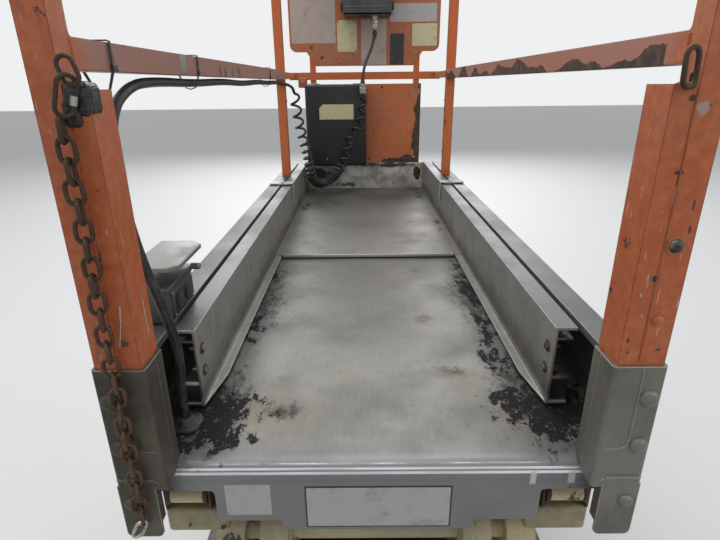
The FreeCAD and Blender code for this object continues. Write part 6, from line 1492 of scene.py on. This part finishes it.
# Control box. A grey moulded case on the upper panel with a sloped top. A joystick with its grip and lever
# switch, a mushroom stop button, toggle switches and lamps are on it, under a bent tube guard.
grey_plastic, tree, shader = new_finish("grey_plastic")
wear = place_group(tree, edge_wear, Width=0.003, Amount=0.6, Break_Up=45.0)
dirt = shaded(tree, speckled(tree, 11.0, 8.0, 0.7, seed=6.0), 0.44, 0.70)
shade = blended(tree, dirt, (0.060, 0.063, 0.066), (0.030, 0.030, 0.030))
tree.links.new(blended(tree, wear.outputs["Worn"], shade, (0.15, 0.15, 0.15)), shader.inputs["Base Color"])
tree.links.new(shaded(tree, dirt, 0.0, 1.0, 0.42, 0.64), shader.inputs["Roughness"])
bump = add_node(tree, "ShaderNodeBump", Distance=0.0002, Strength=0.5)
tree.links.new(speckled(tree, 700.0, 2.0), bump.inputs["Height"])
tree.links.new(wear.outputs["Normal"], bump.inputs["Normal"])
tree.links.new(bump.outputs["Normal"], shader.inputs["Normal"])

mesh = bmesh.new()
profile = [(0.834, 1.675), (0.949, 1.675), (0.949, 1.875), (0.877, 1.875), (0.831, 1.829), (0.831, 1.678)]
near = [mesh.verts.new((-0.090, along, up)) for along, up in profile]
far = [mesh.verts.new((0.114, along, up)) for along, up in profile]
mesh.faces.new(near)
mesh.faces.new(list(reversed(far)))
for step in range(len(profile)):
    after = (step + 1) % len(profile)
    mesh.faces.new((near[step], far[step], far[after], near[after]))
bmesh.ops.bevel(mesh, geom=mesh.edges[:], offset=0.005, segments=3, affect="EDGES", profile=0.5)
block(mesh, (-0.086, 0.8300, 1.700), (0.110, 0.8345, 1.7035), 0.001)
case = put(mesh, "control_case", grey_plastic, "extension")
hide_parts("control_box")
mesh = bmesh.new()
for outer, inner in ((-0.104, -0.088), (0.128, 0.112)):
    low, high = sorted((outer, inner))
    for bottom in (1.700, 1.820):
        block(mesh, (low, 0.898, bottom), (high, 0.950, bottom + 0.032), 0.004, 3)
put(mesh, "control_box_lugs", black_plastic, "extension")

slope_middle, slope_facing = Vector((0, 0.854, 1.852)), Vector((0, -1, 1)).normalized()
slope_up = Vector((0, 1, 1)).normalized()
mesh = bmesh.new()
stick = slope_middle + Vector((0.070, 0, 0))
turned(mesh, [(0.020, 0), (0.020, 0.004), (0.016, 0.008), (0.013, 0.010), (0.014, 0.013), (0.010, 0.016), (0.0105, 0.019),
              (0.007, 0.022), (0.007, 0.034), (0.012, 0.038), (0.0135, 0.050), (0.0125, 0.072), (0.0135, 0.080),
              (0.010, 0.088), (0, 0.090)], stick, Vector((0, -0.75, 1)), 28)
for shift in (-0.066, -0.040):
    foot = slope_middle + Vector((shift, 0, 0)) + slope_up * 0.012
    turned(mesh, [(0.0075, 0), (0.0075, 0.004), (0.004, 0.005), (0.0028, 0.016), (0, 0.017)], foot, slope_facing, 14)
turned(mesh, [(0.0085, 0), (0.0085, 0.005), (0.007, 0.006), (0, 0.006)],
       slope_middle + Vector((-0.015, 0, 0)) + slope_up * 0.012, slope_facing, 20)
put(mesh, "control_stick", black_plastic, "extension", 50)
red_knob, tree, shader = new_finish("red_knob")
rubbed = shaded(tree, speckled(tree, 60.0, 5.0), 0.45, 0.7)
tree.links.new(blended(tree, rubbed, (0.46, 0.018, 0.014), (0.26, 0.035, 0.028)), shader.inputs["Base Color"])
tree.links.new(shaded(tree, rubbed, 0.0, 1.0, 0.28, 0.5), shader.inputs["Roughness"])
mesh = bmesh.new()
turned(mesh, [(0.009, 0), (0.009, 0.010), (0.018, 0.012), (0.0195, 0.016), (0.0185, 0.021), (0.012, 0.0245),
              (0, 0.0255)], slope_middle + Vector((0.022, 0, 0)) + slope_up * 0.002, slope_facing, 32)
put(mesh, "stop_button", red_knob, "extension", 50)
mesh = bmesh.new()
for number, shift in enumerate((-0.078, -0.060, -0.042)):
    foot = slope_middle + Vector((shift, 0, 0)) - slope_up * 0.014
    turned(mesh, [(0.0045, 0), (0.0045, 0.002), (0.0035, 0.004), (0, 0.005)], foot, slope_facing, 14)
put(mesh, "control_lamps", red_knob, "extension", 50)
mesh = bmesh.new()
for across in (-0.070, 0.092):
    turned(mesh, [(0.0052, 0), (0.0052, 0.0015), (0.0036, 0.002), (0.0024, 0.0008), (0, 0.0008)],
           (across, 0.8545, 1.6755), (0, 0, -1), 16)
    dome_bolt(mesh, (across, 0.8312, 1.690), (0, -1, 0), 0.004, 0.002)
put(mesh, "control_screws", dark_steel, "extension")

guard_line = smooth_line("control_guard", [
    (-0.086, 0.946, 1.868), (-0.086, 0.946, 1.925), (-0.086, 0.930, 1.945), (-0.086, 0.850, 1.948), (-0.086, 0.832, 1.930),
    (-0.086, 0.832, 1.905), (-0.030, 0.832, 1.905), (0.054, 0.832, 1.905), (0.110, 0.832, 1.905), (0.110, 0.832, 1.930),
    (0.110, 0.850, 1.948), (0.110, 0.930, 1.945), (0.110, 0.946, 1.925), (0.110, 0.946, 1.868)], 0.005)
guard_line.data.materials.append(dark_steel)
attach(guard_line, "extension")

# Cable glands. Plated brass glands with hexagon bodies, domed nuts and rubber sleeves hold the cable's ends.
mesh, sleeves = bmesh.new(), bmesh.new()
for across, along, top, scale, width in ((0.044, 0.891, 1.6755, 1.0, 1.0), (-0.010, 0.8405, 1.4010, 0.78, 1.1)):
    parts = (
        ([(0.0155, 0), (0.0155, 0.013), (0.0140, 0.014)], 6), ([(0.0120, 0.012), (0.0120, 0.019)], 24),
        ([(0.0145, 0.018), (0.0158, 0.020), (0.0158, 0.034), (0.0145, 0.036)], 8), ([(0.0125, 0.034), (0.0125, 0.040)], 24),
        ([(0.0148, 0.039), (0.0148, 0.047), (0.0125, 0.054), (0.0090, 0.058), (0.0062, 0.058)], 24),
    )
    for profile, sides in parts:
        turned(mesh, [(radius * width, down * scale) for radius, down in profile], (across, along, top), (0, 0, -1), sides)
block(mesh, (-0.022, 0.8425, 1.378), (0.002, 0.863, 1.394), 0.002)
glands = put(mesh, "gland_bodies", zinc, "extension")
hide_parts("cord_gland")
turned(sleeves, [(0.0075, 0.0), (0.0105, 0.002), (0.0095, 0.012), (0.0075, 0.022), (0.0062, 0.030)], (0.044, 0.891, 1.614), (0, 0, -1), 20)
turned(sleeves, [(0.0075, 0.0), (0.0105, 0.002), (0.0095, 0.014), (0.0070, 0.028)], (-0.010, 0.8405, 1.396), (0, 0, 1), 20)
turned(sleeves, [(0.0070, 0.0), (0.0100, 0.002), (0.0085, 0.014), (0.0050, 0.026)], (-0.010, 0.8405, 1.366), (0, 0, -1), 20)
put(sleeves, "gland_sleeves", rubber, "extension", 50)
